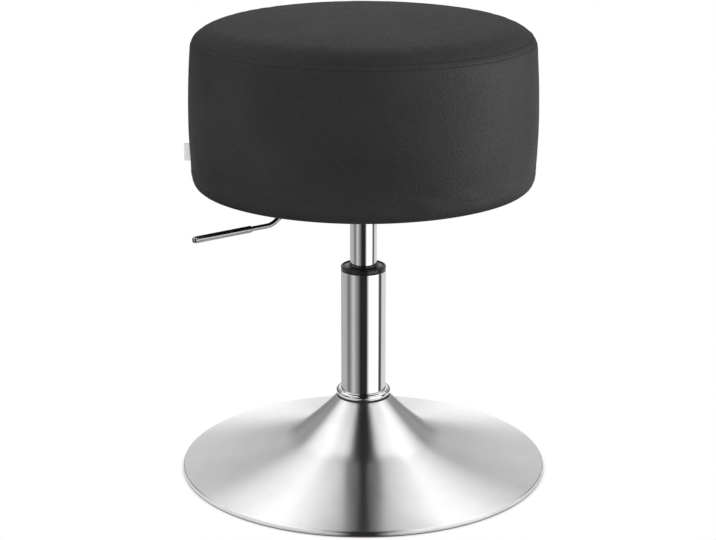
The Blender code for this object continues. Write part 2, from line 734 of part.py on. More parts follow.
def make_mechanism(mechanism, finishes):
    steel = finishes["black_steel"]
    socket_low = TUBE_HIGH - SOCKET_GRIP
    socket_high = SEAT_PLATE_LOW - FIT_GAP
    taper_low = TUBE_HIGH - TAPER_LENGTH
    taper = [(LIFT_TUBE_RADIUS, taper_low), (TAPER_TOP_RADIUS, TUBE_HIGH)]
    mouth = radius_at(taper, max(socket_low, taper_low)) + FIT_GAP
    throat = TAPER_TOP_RADIUS + FIT_GAP
    socket_outline = [
        (throat, socket_high),
        (SOCKET_RADIUS, socket_high),
        (SOCKET_RADIUS, socket_low),
        (mouth, socket_low),
        (throat, TUBE_HIGH),
    ]
    socket = turned("taper_socket", socket_outline, steel, mechanism, COLUMN_ROUND)

    hub_low = PIVOT_HEIGHT - HUB_RADIUS
    web_high = hub_low - BRACKET_WEB_GAP
    web_low = web_high - BRACKET_WALL
    half_slot = HUB_WIDTH / 2
    slot = block_mesh(
        "lever_slot",
        (0.0, -half_slot - FIT_GAP, web_high),
        (SOCKET_RADIUS * 2, half_slot + FIT_GAP, SEAT_PLATE_HIGH),
    )
    combine(socket, guide_shape("lever_slot", slot, mechanism), "DIFFERENCE")

    ear_in = half_slot + FIT_GAP
    ear_out = ear_in + BRACKET_WALL
    channel = [
        (ear_out, socket_high),
        (ear_out, web_low),
        (-ear_out, web_low),
        (-ear_out, socket_high),
        (-ear_in, socket_high),
        (-ear_in, web_high),
        (ear_in, web_high),
        (ear_in, socket_high),
    ]
    start = SOCKET_RADIUS + FIT_GAP
    end = PIVOT_OFFSET + HUB_RADIUS + BRACKET_MARGIN
    shape = bmesh.new()
    section = shape.faces.new([shape.verts.new((start, y, z)) for y, z in channel])
    drawn = bmesh.ops.extrude_face_region(shape, geom=[section])
    moved = [item for item in drawn["geom"] if isinstance(item, bmesh.types.BMVert)]
    bmesh.ops.translate(shape, vec=(end - start, 0.0, 0.0), verts=moved)
    bracket = piece("lever_bracket", mesh_from(shape, "lever_bracket"), steel, mechanism)

    across = (math.pi / 2, 0.0, 0.0)
    pivot = (PIVOT_OFFSET, 0.0, PIVOT_HEIGHT)
    hole = rod_outline(PIVOT_PIN_RADIUS + FIT_GAP, -ear_out * 2, ear_out * 2)
    ear_holes = turned_guide(
        "ear_holes", hole, mechanism, rounds=TINY_ROUND, location=pivot, turn=across
    )
    combine(bracket, ear_holes, "DIFFERENCE")
    head_in = ear_out + FIT_GAP
    head_out = head_in + PIVOT_HEAD_HEIGHT
    pin_outline = [
        (0.0, head_out),
        (PIVOT_HEAD_RADIUS, head_out),
        (PIVOT_HEAD_RADIUS, head_in),
        (PIVOT_PIN_RADIUS, head_in),
        (PIVOT_PIN_RADIUS, -head_in),
        (PIVOT_HEAD_RADIUS, -head_in),
        (PIVOT_HEAD_RADIUS, -head_out),
        (0.0, -head_out),
    ]
    turned(
        "pivot_pin",
        pin_outline,
        finishes["bright_steel"],
        mechanism,
        TINY_ROUND,
        location=pivot,
        turn=across,
    )
    make_seat_plate(mechanism, finishes)


def make_seat_plate(mechanism, finishes):
    shape = bmesh.new()
    bmesh.ops.create_cube(shape, size=1.0)
    size = (SEAT_PLATE_SIDE, SEAT_PLATE_SIDE, SEAT_PLATE_THICKNESS)
    bmesh.ops.scale(shape, vec=size, verts=shape.verts)
    corners = []
    for edge in shape.edges:
        first, second = edge.verts
        if abs(first.co.z - second.co.z) > SEAT_PLATE_THICKNESS / 2:
            corners.append(edge)
    bmesh.ops.bevel(
        shape,
        geom=corners,
        offset=SEAT_PLATE_CORNER,
        offset_type="OFFSET",
        segments=4,
        profile=0.5,
        affect="EDGES",
    )
    middle = (SEAT_PLATE_LOW + SEAT_PLATE_HIGH) / 2
    bmesh.ops.translate(shape, vec=(0.0, 0.0, middle), verts=shape.verts)
    plate = piece("seat_plate", mesh_from(shape, "seat_plate"), finishes["black_steel"], mechanism)
    hole = rod_outline(BOLT_RADIUS + FIT_GAP, SEAT_PLATE_LOW - FIT_GAP, SEAT_LOW)
    holes = turned_guide("plate_bolt_holes", hole, mechanism, bolt_places(), TINY_ROUND)
    combine(plate, holes, "DIFFERENCE")


def make_plate_bolts(mechanism, finishes, board_low, board_high):
    """Flanged hex bolts from below, and the tee nuts in the board that they screw into."""
    flange_high = SEAT_PLATE_LOW - FIT_GAP
    flange_low = flange_high - BOLT_FLANGE_HEIGHT
    head_low = flange_low - BOLT_HEAD_HEIGHT
    bolt_outline = [
        (0.0, board_high - BOLT_END_INSET),
        (BOLT_RADIUS, board_high - BOLT_END_INSET),
        (BOLT_RADIUS, flange_high),
        (BOLT_FLANGE_RADIUS, flange_high),
        (BOLT_FLANGE_RADIUS, flange_low),
        (0.0, flange_low),
    ]
    steel = finishes["bright_steel"]
    sample = turned("plate_bolt", bolt_outline, steel, None, TINY_ROUND)
    head_outline = rod_outline(BOLT_HEAD_RADIUS, head_low, flange_high - BOLT_FLANGE_HEIGHT / 2)
    head = turned_guide("plate_bolt_head", head_outline, None, rounds=6)
    combine(sample, head, "UNION")
    bolt = finished_mesh(sample)
    bpy.data.objects.remove(head)

    nut_bore = BOLT_RADIUS + FIT_GAP
    nut_outline = [
        (nut_bore, board_high),
        (TEE_NUT_FLANGE_RADIUS, board_high),
        (TEE_NUT_FLANGE_RADIUS, board_high - TEE_NUT_FLANGE_HEIGHT),
        (TEE_NUT_RADIUS, board_high - TEE_NUT_FLANGE_HEIGHT),
        (TEE_NUT_RADIUS, board_low + TEE_NUT_FOOT),
        (nut_bore, board_low + TEE_NUT_FOOT),
    ]
    nut = turned_mesh("tee_nut", nut_outline, TINY_ROUND)
    for number, (x, y) in enumerate(bolt_places(), 1):
        piece(f"plate_bolt_{number}", bolt, steel, mechanism, location=(x, y, 0.0))
        piece(f"tee_nut_{number}", nut, steel, mechanism, location=(x, y, 0.0))


def make_lever(lever, finishes):
    """The lever is set out from its pivot, along X outwards and Z up."""
    steel = finishes["bright_steel"]
    tip_end = LEVER_REACH - GRIP_END_WALL
    bend = Vector((LEVER_BEND_OFFSET - PIVOT_OFFSET, 0.0, HUB_DROP - LEVER_BEND_DROP))
    tip = Vector((LEVER_REACH - PIVOT_OFFSET, 0.0, HUB_DROP - LEVER_TIP_DROP))
    along = (tip - bend).normalized()
    corners = [
        (-PIVOT_OFFSET - LEVER_FINGER_PAST, 0.0, HUB_DROP),
        (HUB_RADIUS, 0.0, HUB_DROP),
        (LEVER_KNEE_OFFSET - PIVOT_OFFSET, 0.0, HUB_DROP - LEVER_KNEE_DROP),
        bend,
        tip - along * (LEVER_REACH - tip_end),
    ]
    path = rounded_path(corners, LEVER_BEND_ROUND, 4)
    rod = piece("lever_rod", tube_mesh("lever_rod", path, LEVER_ROD_RADIUS), steel, lever)

    across = (math.pi / 2, 0.0, 0.0)
    hub_outline = rod_outline(HUB_RADIUS, -HUB_WIDTH / 2, HUB_WIDTH / 2)
    hub = turned_guide("lever_hub", hub_outline, lever, turn=across)
    combine(rod, hub, "UNION")
    bore_outline = rod_outline(PIVOT_PIN_RADIUS + SLIDE_GAP, -HUB_WIDTH, HUB_WIDTH)
    bore = turned_guide("lever_bore", bore_outline, lever, rounds=TINY_ROUND, turn=across)
    combine(rod, bore, "DIFFERENCE")

    bore_radius = LEVER_ROD_RADIUS + FIT_GAP
    bore_end = GRIP_LENGTH - GRIP_END_WALL + FIT_GAP
    nose = ellipse_arc(
        (0.0, GRIP_LENGTH - GRIP_RADIUS), (GRIP_RADIUS, GRIP_RADIUS), math.pi / 2, 0.0, 5
    )
    nose[0] = (0.0, GRIP_LENGTH)
    grip_outline = nose + [(GRIP_RADIUS, 0.0), (bore_radius, 0.0)]
    grip_outline += [(bore_radius, bore_end), (0.0, bore_end)]
    grip_turn = (0.0, math.atan2(along.x, along.z), 0.0)
    turned(
        "lever_grip",
        grip_outline,
        steel,
        lever,
        TINY_ROUND,
        location=tip - along * GRIP_LENGTH,
        turn=grip_turn,
    )


# The upholstered seat


def make_seat(lift, mechanism, finishes):
    top_panel, side_panel, board_radius = seat_outlines()
    leather = finishes["leather"]
    top_inside = inside(top_panel, COVER_THICKNESS)
    turned("cover_top", top_panel + top_inside[::-1], leather, lift, LARGE_ROUND)
    side_inside = inside(side_panel, COVER_THICKNESS)
    turned("cover_side", side_panel + side_inside[::-1], leather, lift, LARGE_ROUND)

    foam_depth = COVER_THICKNESS + FIT_GAP
    padding = inside(top_panel, foam_depth)[:-1] + inside(side_panel, foam_depth)
    recess_radius = board_radius + FIT_GAP
    board_low = height_at(padding[::-1], board_radius)
    skirt_low = height_at(padding[::-1], recess_radius)
    board_high = board_low + BOARD_THICKNESS
    middle = SEAT_LOW + WIDEST_HEIGHT
    foam_outline = []
    for radius, height in padding:
        if height > middle or radius > recess_radius + FIT_GAP:
            foam_outline.append((radius, height))
    foam_outline += [(recess_radius, skirt_low), (recess_radius, board_high + FIT_GAP)]
    foam_outline += [(0.0, board_high + FIT_GAP)]
    turned("seat_foam", foam_outline, finishes["foam"], lift, LARGE_ROUND)

    board_outline = rod_outline(board_radius, board_low, board_high)
    board = turned("seat_board", board_outline, finishes["plywood"], lift, LARGE_ROUND)
    flange_seat = board_high - TEE_NUT_FLANGE_HEIGHT - FIT_GAP
    barrel_hole = TEE_NUT_RADIUS + FIT_GAP
    flange_hole = TEE_NUT_FLANGE_RADIUS + FIT_GAP
    nut_hole = [
        (0.0, board_high + FIT_GAP),
        (flange_hole, board_high + FIT_GAP),
        (flange_hole, flange_seat),
        (barrel_hole, flange_seat),
        (barrel_hole, board_low - FIT_GAP),
        (0.0, board_low - FIT_GAP),
    ]
    nut_holes = turned_guide("tee_nut_holes", nut_hole, mechanism, bolt_places(), TINY_ROUND)
    combine(board, nut_holes, "DIFFERENCE")

    dust_radius = board_radius - COVER_LIP + DUST_COVER_OVERLAP
    dust_outline = rod_outline(dust_radius, DUST_LOW, DUST_HIGH)
    dust = turned("dust_cover", dust_outline, finishes["black_cloth"], lift, LARGE_ROUND)
    bolt_hole = rod_outline(BOLT_RADIUS + FIT_GAP, DUST_LOW - FIT_GAP, DUST_HIGH + FIT_GAP)
    dust_holes = turned_guide("dust_cover_holes", bolt_hole, mechanism, bolt_places(), TINY_ROUND)
    combine(dust, dust_holes, "DIFFERENCE")

    make_plate_bolts(mechanism, finishes, board_low, board_high)
    make_side_tab(lift, finishes, side_panel)


def make_side_tab(lift, finishes, side_panel):
    """A blank cloth tab that is sewn into the seat's left side."""
    low = SEAT_LOW + TAB_CENTRE_HEIGHT - TAB_HEIGHT / 2
    high = low + TAB_HEIGHT
    widest = SEAT_LOW + WIDEST_HEIGHT
    below_widest = [(radius, height) for radius, height in side_panel if height <= widest]
    root = radius_at(below_widest, high) + FIT_GAP
    half = TAB_THICKNESS / 2
    mesh = block_mesh("side_tab", (-root - TAB_REACH, -half, low), (-root, half, high))
    piece("side_tab", mesh, finishes["white_cloth"], lift)


def make_finishes():
    return {
        "satin_chrome": finish_material("satin_chrome", (0.78, 0.78, 0.79), 0.22, 1.0),
        "chrome": finish_material("chrome", (0.84, 0.84, 0.85), 0.06, 1.0),
        "dark_steel": finish_material("dark_steel", (0.24, 0.24, 0.25), 0.45, 1.0),
        "black_steel": finish_material("black_steel", (0.02, 0.02, 0.021), 0.45),
        "bright_steel": finish_material("bright_steel", (0.55, 0.55, 0.56), 0.30, 1.0),
        "rubber": finish_material("rubber", (0.015, 0.015, 0.016), 0.80),
        "black_plastic": finish_material("black_plastic", (0.012, 0.012, 0.013), 0.20),
        "white_plastic": finish_material("white_plastic", (0.80, 0.80, 0.78), 0.45),
        "leather": finish_material("leather", (0.030, 0.028, 0.028), 0.42),
        "foam": finish_material("foam", (0.82, 0.76, 0.55), 0.90),
        "plywood": finish_material("plywood", (0.55, 0.38, 0.22), 0.70),
        "black_cloth": finish_material("black_cloth", (0.018, 0.018, 0.019), 0.95),
        "white_cloth": finish_material("white_cloth", (0.78, 0.77, 0.80), 0.85),
    }


def main():
    clear_scene()
    finishes = make_finishes()
    base = axis_empty("base_frame")
    spindle = axis_empty("swivel_axis", base)
    lift = axis_empty("lift_axis", spindle)
    mechanism = axis_empty("mechanism_frame", lift, turn=LEVER_AZIMUTH)
    valve = axis_empty("valve_axis", mechanism)
    lever = axis_empty("lever_axis", mechanism, location=(PIVOT_OFFSET, 0.0, PIVOT_HEIGHT))
    make_base(base, finishes)
    make_column(base, finishes)
    make_bearing(base, spindle, finishes)
    make_spindle(spindle, finishes)
    make_gas_lift(lift, valve, finishes)
    make_mechanism(mechanism, finishes)
    make_lever(lever, finishes)
    make_seat(lift, mechanism, finishes)


main()
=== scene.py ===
# %% [markdown]
# # A swivel vanity stool
# A round upholstered seat stands on a bright gas-lift column with a trumpet base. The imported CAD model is
# the frame: every piece here is made in place around it, in metres, with +Z up along the column.

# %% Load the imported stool
import json
import math

import bmesh
import bpy
from mathutils import Matrix, Vector, kdtree, noise
from mathutils.geometry import interpolate_bezier


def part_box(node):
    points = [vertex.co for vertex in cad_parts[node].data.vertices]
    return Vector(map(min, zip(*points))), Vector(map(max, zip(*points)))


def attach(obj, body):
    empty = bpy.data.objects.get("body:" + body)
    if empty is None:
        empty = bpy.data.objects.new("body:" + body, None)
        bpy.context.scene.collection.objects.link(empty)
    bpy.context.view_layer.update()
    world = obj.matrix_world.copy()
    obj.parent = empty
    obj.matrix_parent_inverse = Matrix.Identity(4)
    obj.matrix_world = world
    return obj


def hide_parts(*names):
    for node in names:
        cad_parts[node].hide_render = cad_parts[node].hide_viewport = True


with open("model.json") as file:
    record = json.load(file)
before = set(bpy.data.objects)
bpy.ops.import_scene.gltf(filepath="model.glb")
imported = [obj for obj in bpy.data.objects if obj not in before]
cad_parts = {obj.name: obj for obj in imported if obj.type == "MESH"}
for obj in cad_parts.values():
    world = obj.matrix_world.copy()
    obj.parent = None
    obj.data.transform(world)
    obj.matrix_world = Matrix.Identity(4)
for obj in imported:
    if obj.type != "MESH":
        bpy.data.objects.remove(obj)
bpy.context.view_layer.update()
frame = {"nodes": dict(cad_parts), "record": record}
scene = bpy.context.scene
MM = 0.001
TURN = 2 * math.pi
print("nodes in the frame:", len(frame["nodes"]))

# %% [markdown]
# ## Camera
# The photograph looks down on the stool by about 17 degrees with a long lens. The camera's place comes from
# the outlines of the seat, column and base, so it only has to be set once and stays put.

# %% Place the camera
lens = bpy.data.cameras.new("studio_camera")
lens.lens = 93.64
lens.sensor_width = 36.0
camera = bpy.data.objects.new("studio_camera", lens)
camera.location = (-0.0057, -1.86368, 0.77109)
camera.rotation_euler = (math.radians(73.405), 0.0, 0.0)
scene.collection.objects.link(camera)
scene.camera = camera
scene.view_settings.view_transform = "Standard"
print("camera lens", lens.lens, "mm")

# %% [markdown]
# ## Helpers for turned pieces
# Nearly every hard piece of a stool is turned on a lathe, spun over a former, or drawn as a tube. In
# Blender a lathe is the spin operator: an outline of a few vertices goes once round the column's axis. The
# full turn is merged, doubles are removed at the axis, and the normals are made to point outwards before
# anything else.


# %% Spin an outline, round its corners, make it a piece
def turn(outline, steps=160, closed=True):
    """Spins an outline of (radius, height) points once round the Z axis."""
    bm = bmesh.new()
    verts = [bm.verts.new((radius, 0.0, height)) for radius, height in outline]
    pairs = list(zip(verts, verts[1:]))
    if closed:
        pairs.append((verts[-1], verts[0]))
    edges = [bm.edges.new(pair) for pair in pairs]
    bmesh.ops.spin(bm, geom=verts + edges, axis=(0, 0, 1), cent=(0, 0, 0),
                   angle=TURN, steps=steps, use_merge=True)
    bmesh.ops.remove_doubles(bm, verts=bm.verts, dist=1e-6)
    bmesh.ops.recalc_face_normals(bm, faces=bm.faces)
    return bm


def ring_edges(bm, corner, reach=1e-5):
    """The edges of a turned piece that run round it at one (radius, height) corner."""
    radius, height = corner

    def on_corner(vert):
        return math.dist((math.hypot(vert.co.x, vert.co.y), vert.co.z), (radius, height)) < reach

    return [edge for edge in bm.edges if all(on_corner(vert) for vert in edge.verts)]


def round_off(bm, edges, width, segments=4):
    """Bevels these edges to a round of that width."""
    bmesh.ops.bevel(bm, geom=edges, offset=width, offset_type="OFFSET", affect="EDGES",
                    segments=segments, profile=0.5, material=-1, clamp_overlap=True)


def sharp_edges(bm, angle=0.6):
    """Every edge that turns by more than this angle, in radians."""
    return [edge for edge in bm.edges if len(edge.link_faces) == 2 and edge.calc_face_angle(0) > angle]


def piece(bm, name, body, finish, nodes=(), sharp=0.7):
    """Makes a bmesh an object at the origin that rides on a body and stands for CAD nodes."""
    for edge in bm.edges:
        edge.smooth = len(edge.link_faces) == 2 and edge.calc_face_angle(0) < sharp
    for face in bm.faces:
        face.smooth = True
    mesh = bpy.data.meshes.new(name)
    bm.to_mesh(mesh)
    bm.free()
    mesh.materials.append(finish)
    made = bpy.data.objects.new(name, mesh)
    scene.collection.objects.link(made)
    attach(made, body)
    if nodes:
        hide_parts(*nodes)
    print(name, len(mesh.polygons), "faces, rides on", body)
    return made


def settle(made):
    """Applies a piece's modifiers to its mesh."""
    shaped = bpy.data.meshes.new_from_object(made.evaluated_get(bpy.context.evaluated_depsgraph_get()))
    made.modifiers.clear()
    made.data = shaped
    return made


def wall(made, thickness):
    """Gives a sheet a wall on its inner side."""
    solidify = made.modifiers.new("wall", "SOLIDIFY")
    solidify.thickness = thickness
    solidify.offset = -1.0
    return settle(made)


def turned_size(node):
    """Outer radius, lowest and highest height of a turned CAD node."""
    low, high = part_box(node)
    return high.x, low.z, high.z


# %% [markdown]
# ## Helpers for finishes
# A finish is a material of shader nodes. Effects that several finishes share, such as the fine marks on
# bright metal or the weave of cloth, are node groups: a small recipe with named inputs that is built once
# and placed in each material with its own values.


# %% Small helpers that add and join shader nodes
def add_node(tree, kind, settings=None, **inputs):
    """Adds a shader node, sets its options and fills or links its inputs by name."""
    made = tree.nodes.new("ShaderNode" + kind)
    for option, value in (settings or {}).items():
        setattr(made, option, value)
    for key, value in inputs.items():
        name = key.replace("_", " ")
        spot = made.inputs[int(key[1:])] if key[0] == "i" and key[1:].isdigit() else made.inputs[name]
        if isinstance(value, bpy.types.NodeSocket):
            tree.links.new(value, spot)
        else:
            spot.default_value = value
    return made


def math_node(tree, operation, first, second=0.0, third=0.0):
    """One math node, and its result."""
    return add_node(tree, "Math", {"operation": operation}, i0=first, i1=second, i2=third).outputs[0]


def stops(tree, factor, *points):
    """A colour ramp of (position, grey or colour) points, and its colour."""
    made = add_node(tree, "ValToRGB", None, Fac=factor)
    ramp = made.color_ramp
    while len(ramp.elements) < len(points):
        ramp.elements.new(1.0)
    for element, (position, shade) in zip(ramp.elements, points):
        element.position = position
        element.color = (shade, shade, shade, 1) if isinstance(shade, (int, float)) else (*shade, 1)
    return made.outputs["Color"]


def new_group(name, inputs, outputs):
    """An empty shader group with named float inputs and named outputs."""
    tree = bpy.data.node_groups.new(name, "ShaderNodeTree")
    for label, value in inputs.items():
        made = tree.interface.new_socket(label, in_out="INPUT", socket_type="NodeSocketFloat")
        made.default_value = value
    for label, kind in outputs.items():
        tree.interface.new_socket(label, in_out="OUTPUT", socket_type="NodeSocket" + kind)
    return tree, tree.nodes.new("NodeGroupInput").outputs, tree.nodes.new("NodeGroupOutput").inputs


def place_group(tree, group, **inputs):
    """Places a shared group in a material with its own values."""
    made = tree.nodes.new("ShaderNodeGroup")
    made.node_tree = group
    for key, value in inputs.items():
        made.inputs[key.replace("_", " ")].default_value = value
    return made.outputs


def new_finish(name, **sockets):
    """A material with a Principled BSDF whose plain values are set on its own sockets."""
    made = bpy.data.materials.new(name)
    made.use_nodes = True
    shader = made.node_tree.nodes["Principled BSDF"]
    for key, value in sockets.items():
        shader.inputs[key.replace("_", " ")].default_value = value
    return made, made.node_tree, shader.inputs


def place(tree):
    """Object coordinates, which stay with the piece."""
    return tree.nodes.new("ShaderNodeTexCoord").outputs["Object"]


def mixed(tree, share, first, second, blend="MIX"):
    """One colour going over into another, or multiplied by it."""
    return add_node(tree, "MixRGB", {"blend_type": blend}, Fac=share, Color1=first, Color2=second).outputs[0]


def tinted(tree, shader, factor, *points):
    """Colours a finish by a ramp over a factor."""
    tree.links.new(stops(tree, factor, *points), shader["Base Color"])


def embossed(tree, shader, height, strength, distance):
    """Gives a finish a bump from a height."""
    made = add_node(tree, "Bump", None, Height=height, Strength=strength, Distance=distance)
    tree.links.new(made.outputs["Normal"], shader["Normal"])


# %% [markdown]
# ## Shared effects
# Three effects come up again and again. Handling marks make gloss uneven, as on any metal that hands have
# touched. Pebble grain is the embossed skin of leather-look cover stock. Thread weave crosses two sets of
# ridges for woven tape and bonded cloth.

# %% Handling marks: slow smudges and fine hairlines that change roughness
marks, given, made = new_group("handling_marks", {"Base": 0.1, "Spread": 0.05, "Scale": 40.0},
                               {"Roughness": "Float", "Mask": "Float"})
smudge = add_node(marks, "TexNoise", None, Vector=place(marks), Scale=given["Scale"], Detail=4.0,
                  Roughness=0.6)
hairs = add_node(marks, "TexNoise", None, Vector=place(marks), Scale=900.0, Detail=2.0)
both = math_node(marks, "MULTIPLY_ADD", hairs.outputs["Fac"], 0.25, smudge.outputs["Fac"])
mask = add_node(marks, "MapRange", None, Value=both, i1=0.4, i2=0.85).outputs[0]
marks.links.new(mask, made["Mask"])
marks.links.new(math_node(marks, "MULTIPLY_ADD", mask, given["Spread"], given["Base"]), made["Roughness"])

# %% Pebble grain: rounded cells with creases between them
grain, given, made = new_group("pebble_grain", {"Cells": 420.0, "Wander": 0.25},
                               {"Height": "Float", "Crease": "Float", "Patch": "Float"})
where = place(grain)
drift = add_node(grain, "TexNoise", None, Vector=where, Scale=90.0, Detail=2.0)
shift = add_node(grain, "VectorMath", {"operation": "SCALE"}, i0=drift.outputs["Color"],
                 Scale=0.004).outputs[0]
moved = add_node(grain, "VectorMath", {"operation": "ADD"}, i0=where, i1=shift).outputs[0]
cells = add_node(grain, "TexVoronoi", {"feature": "SMOOTH_F1"}, Vector=moved, Scale=given["Cells"],
                 Smoothness=0.35, Randomness=0.9)
folds = add_node(grain, "TexVoronoi", {"feature": "DISTANCE_TO_EDGE"}, Vector=moved, Scale=given["Cells"],
                 Randomness=0.9)
pores = add_node(grain, "TexNoise", None, Vector=moved, Scale=2200.0, Detail=3.0, Roughness=0.6)
domes = math_node(grain, "SUBTRACT", 1.0, math_node(grain, "POWER", cells.outputs["Distance"], 1.6))
height = math_node(grain, "MULTIPLY_ADD", pores.outputs["Fac"], given["Wander"], domes)
crease = add_node(grain, "MapRange", None, Value=folds.outputs["Distance"], i1=0.0, i2=0.12, i3=1.0, i4=0.0)
patch = add_node(grain, "TexNoise", None, Vector=where, Scale=14.0, Detail=3.0)
grain.links.new(height, made["Height"])
grain.links.new(crease.outputs[0], made["Crease"])
grain.links.new(patch.outputs["Fac"], made["Patch"])

# %% Thread weave: two crossing sets of ridges
weave, given, made = new_group("thread_weave", {"Threads": 900.0, "Fuzz": 0.3},
                               {"Height": "Float", "Shade": "Float"})
where = place(weave)
across = add_node(weave, "SeparateXYZ", None, Vector=where)
pace = math_node(weave, "MULTIPLY", given["Threads"], TURN)
warp = math_node(weave, "SINE", math_node(weave, "MULTIPLY", across.outputs["Z"], pace))
weft = math_node(weave, "SINE", math_node(weave, "MULTIPLY", across.outputs["X"], pace))
fuzz = add_node(weave, "TexNoise", None, Vector=where, Scale=1500.0, Detail=3.0)
ridges = math_node(weave, "MULTIPLY_ADD", math_node(weave, "MULTIPLY", warp, weft), 0.5, 0.5)
ragged = math_node(weave, "MULTIPLY_ADD", fuzz.outputs["Fac"], given["Fuzz"], ridges)
weave.links.new(ragged, made["Height"])
weave.links.new(fuzz.outputs["Fac"], made["Shade"])
print("shared groups:", [group.name for group in bpy.data.node_groups])

# %% [markdown]
# ## Metal finishes
# The column is polished chrome plate and the lever satin nickel, which is darker. The base is chrome over
# spun steel: the spinning leaves fine marks round the axis, so light smears out along the radius. An
# anisotropic shader with its tangent round the Z axis does that, turned a quarter so that the smear runs
# down the flare. Bolts and pins are zinc plate with fine crystal flecks.


# %% Bright and plated metals
DULLED = 0.94


def bright_metal(name, colour, base, spread, scale=40.0, **sockets):
    """A metal with uneven gloss."""
    finish, tree, shader = new_finish(name, Metallic=1.0, **sockets)
    marked = place_group(tree, marks, Base=base, Spread=spread, Scale=scale)
    tinted(tree, shader, marked["Mask"], (0.0, colour), (1.0, [DULLED * part for part in colour]))
    tree.links.new(marked["Roughness"], shader["Roughness"])
    return finish, tree, shader


polished_chrome, _, _ = bright_metal("polished_chrome", (0.86, 0.86, 0.87), 0.035, 0.04)
satin_nickel, _, _ = bright_metal("satin_nickel", (0.42, 0.42, 0.43), 0.10, 0.08, 60.0)
spun_chrome, spun_tree, spun_shader = bright_metal("spun_chrome", (0.95, 0.95, 0.955), 0.30, 0.03, 30.0,
                                                   Anisotropic=1.0, Anisotropic_Rotation=0.25)
around = add_node(spun_tree, "Tangent", {"direction_type": "RADIAL", "axis": "Z"})
spun_tree.links.new(around.outputs["Tangent"], spun_shader["Tangent"])
zinc_plate, zinc_tree, zinc_shader = bright_metal("zinc_plate", (0.58, 0.59, 0.61), 0.28, 0.16, 120.0)
flecks = add_node(zinc_tree, "TexNoise", None, Vector=place(zinc_tree), Scale=700.0, Detail=3.0)
embossed(zinc_tree, zinc_shader, flecks.outputs["Fac"], 0.12, 0.0002)

# %% [markdown]
# ## Painted and moulded finishes
# Powder coat has a fine orange-peel skin and rubs a little paler where it is handled. Moulded plastic is
# smooth with faint flow marks, and rubber is matte with dust in its pores. One recipe covers them with
# different values.


# %% Skins: paint, plastic and rubber
def skin(name, colour, pale, base, spread, peel, depth, **sockets):
    """A coloured skin with a fine surface texture and slightly paler worn patches."""
    finish, tree, shader = new_finish(name, **sockets)
    marked = place_group(tree, marks, Base=base, Spread=spread, Scale=55.0)
    tinted(tree, shader, marked["Mask"], (0.0, colour), (1.0, pale))
    tree.links.new(marked["Roughness"], shader["Roughness"])
    texture = add_node(tree, "TexNoise", None, Vector=place(tree), Scale=peel, Detail=3.0, Roughness=0.55)
    embossed(tree, shader, texture.outputs["Fac"], depth, 0.0003)
    return finish


powder_black = skin("powder_black", (0.018, 0.018, 0.019), (0.034, 0.034, 0.035), 0.34, 0.14, 900.0, 0.25)
dark_paint = skin("dark_paint", (0.22, 0.22, 0.23), (0.27, 0.27, 0.28), 0.36, 0.14, 800.0, 0.2)
moulded_black = skin("moulded_black", (0.010, 0.010, 0.011), (0.016, 0.016, 0.017), 0.12, 0.08, 260.0, 0.03)
black_rubber = skin("black_rubber", (0.013, 0.013, 0.014), (0.032, 0.032, 0.033), 0.62, 0.16, 1400.0, 0.3)
white_acetal = skin("white_acetal", (0.78, 0.78, 0.76), (0.72, 0.72, 0.69), 0.3, 0.12, 500.0, 0.08)

# %% [markdown]
# ## Leather-look cover
# The cover is embossed vinyl-faced cloth in a neutral charcoal black. Its pebble grain catches the light in
# small flecks, the creases between pebbles carry painted shade in their colour and are rougher, and slow
# patches keep it from looking flat.

# %% The cover's finish
leather_look, tree, shader = new_finish("leather_look", Specular_IOR_Level=0.08)
pebbles = place_group(tree, grain, Cells=420.0, Wander=0.2)
patched = stops(tree, pebbles["Patch"], (0.3, (0.0245, 0.0240, 0.0234)), (0.7, (0.0315, 0.0309, 0.0301)))
# Painted shade: the colour is darkened in the creases between pebbles.
crease_shaded = mixed(tree, pebbles["Crease"], patched, (0.74, 0.74, 0.74, 1), "MULTIPLY")
tree.links.new(crease_shaded, shader["Base Color"])
tree.links.new(math_node(tree, "MULTIPLY_ADD", pebbles["Crease"], 0.16, 0.52), shader["Roughness"])
embossed(tree, shader, pebbles["Height"], 0.42, 0.0006)

# %% [markdown]
# ## Cloth, thread, foam and plywood
# The underside cloth is bonded fibre with a finely ribbed face. The tab is a woven tape, the thread is
# twisted polyester, the foam shows open cells and the seat board shows the long grain of its plies.

# %% Soft and wooden finishes
bonded_cloth, tree, shader = new_finish("bonded_cloth", Roughness=0.9, Specular_IOR_Level=0.2)
fibres = place_group(tree, weave, Threads=420.0, Fuzz=0.9)
tinted(tree, shader, fibres["Shade"], (0.35, (0.014, 0.014, 0.015)), (0.65, (0.028, 0.028, 0.029)))
embossed(tree, shader, fibres["Height"], 0.5, 0.0004)

woven_tape, tree, shader = new_finish("woven_tape", Roughness=0.8, Specular_IOR_Level=0.25)
threads = place_group(tree, weave, Threads=1100.0, Fuzz=0.35)
# Painted shade: the tape's colour is darker in the hollows between its threads.
tinted(tree, shader, threads["Height"], (0.1, (0.88, 0.87, 0.91)), (0.9, (0.96, 0.95, 0.98)))
embossed(tree, shader, threads["Height"], 0.4, 0.0003)

sewing_thread, tree, shader = new_finish("sewing_thread", Specular_IOR_Level=0.35)
strands = place_group(tree, weave, Threads=1600.0, Fuzz=0.5)
# Painted shade: the thread's colour is darker in the hollows between its strands.
tinted(tree, shader, strands["Height"], (0.1, 0.010), (0.9, 0.024))
tree.links.new(math_node(tree, "MULTIPLY_ADD", strands["Shade"], 0.2, 0.45), shader["Roughness"])

open_foam, tree, shader = new_finish("open_foam", Roughness=0.95, Specular_IOR_Level=0.1)
bubbles = add_node(tree, "TexVoronoi", {"feature": "F1"}, Vector=place(tree), Scale=700.0)
# Painted shade: the foam's colour is darker in the hollow middle of each cell.
tinted(tree, shader, bubbles.outputs["Distance"], (0.1, (0.62, 0.56, 0.38)), (0.7, (0.84, 0.78, 0.57)))
embossed(tree, shader, bubbles.outputs["Distance"], 0.7, 0.0008)

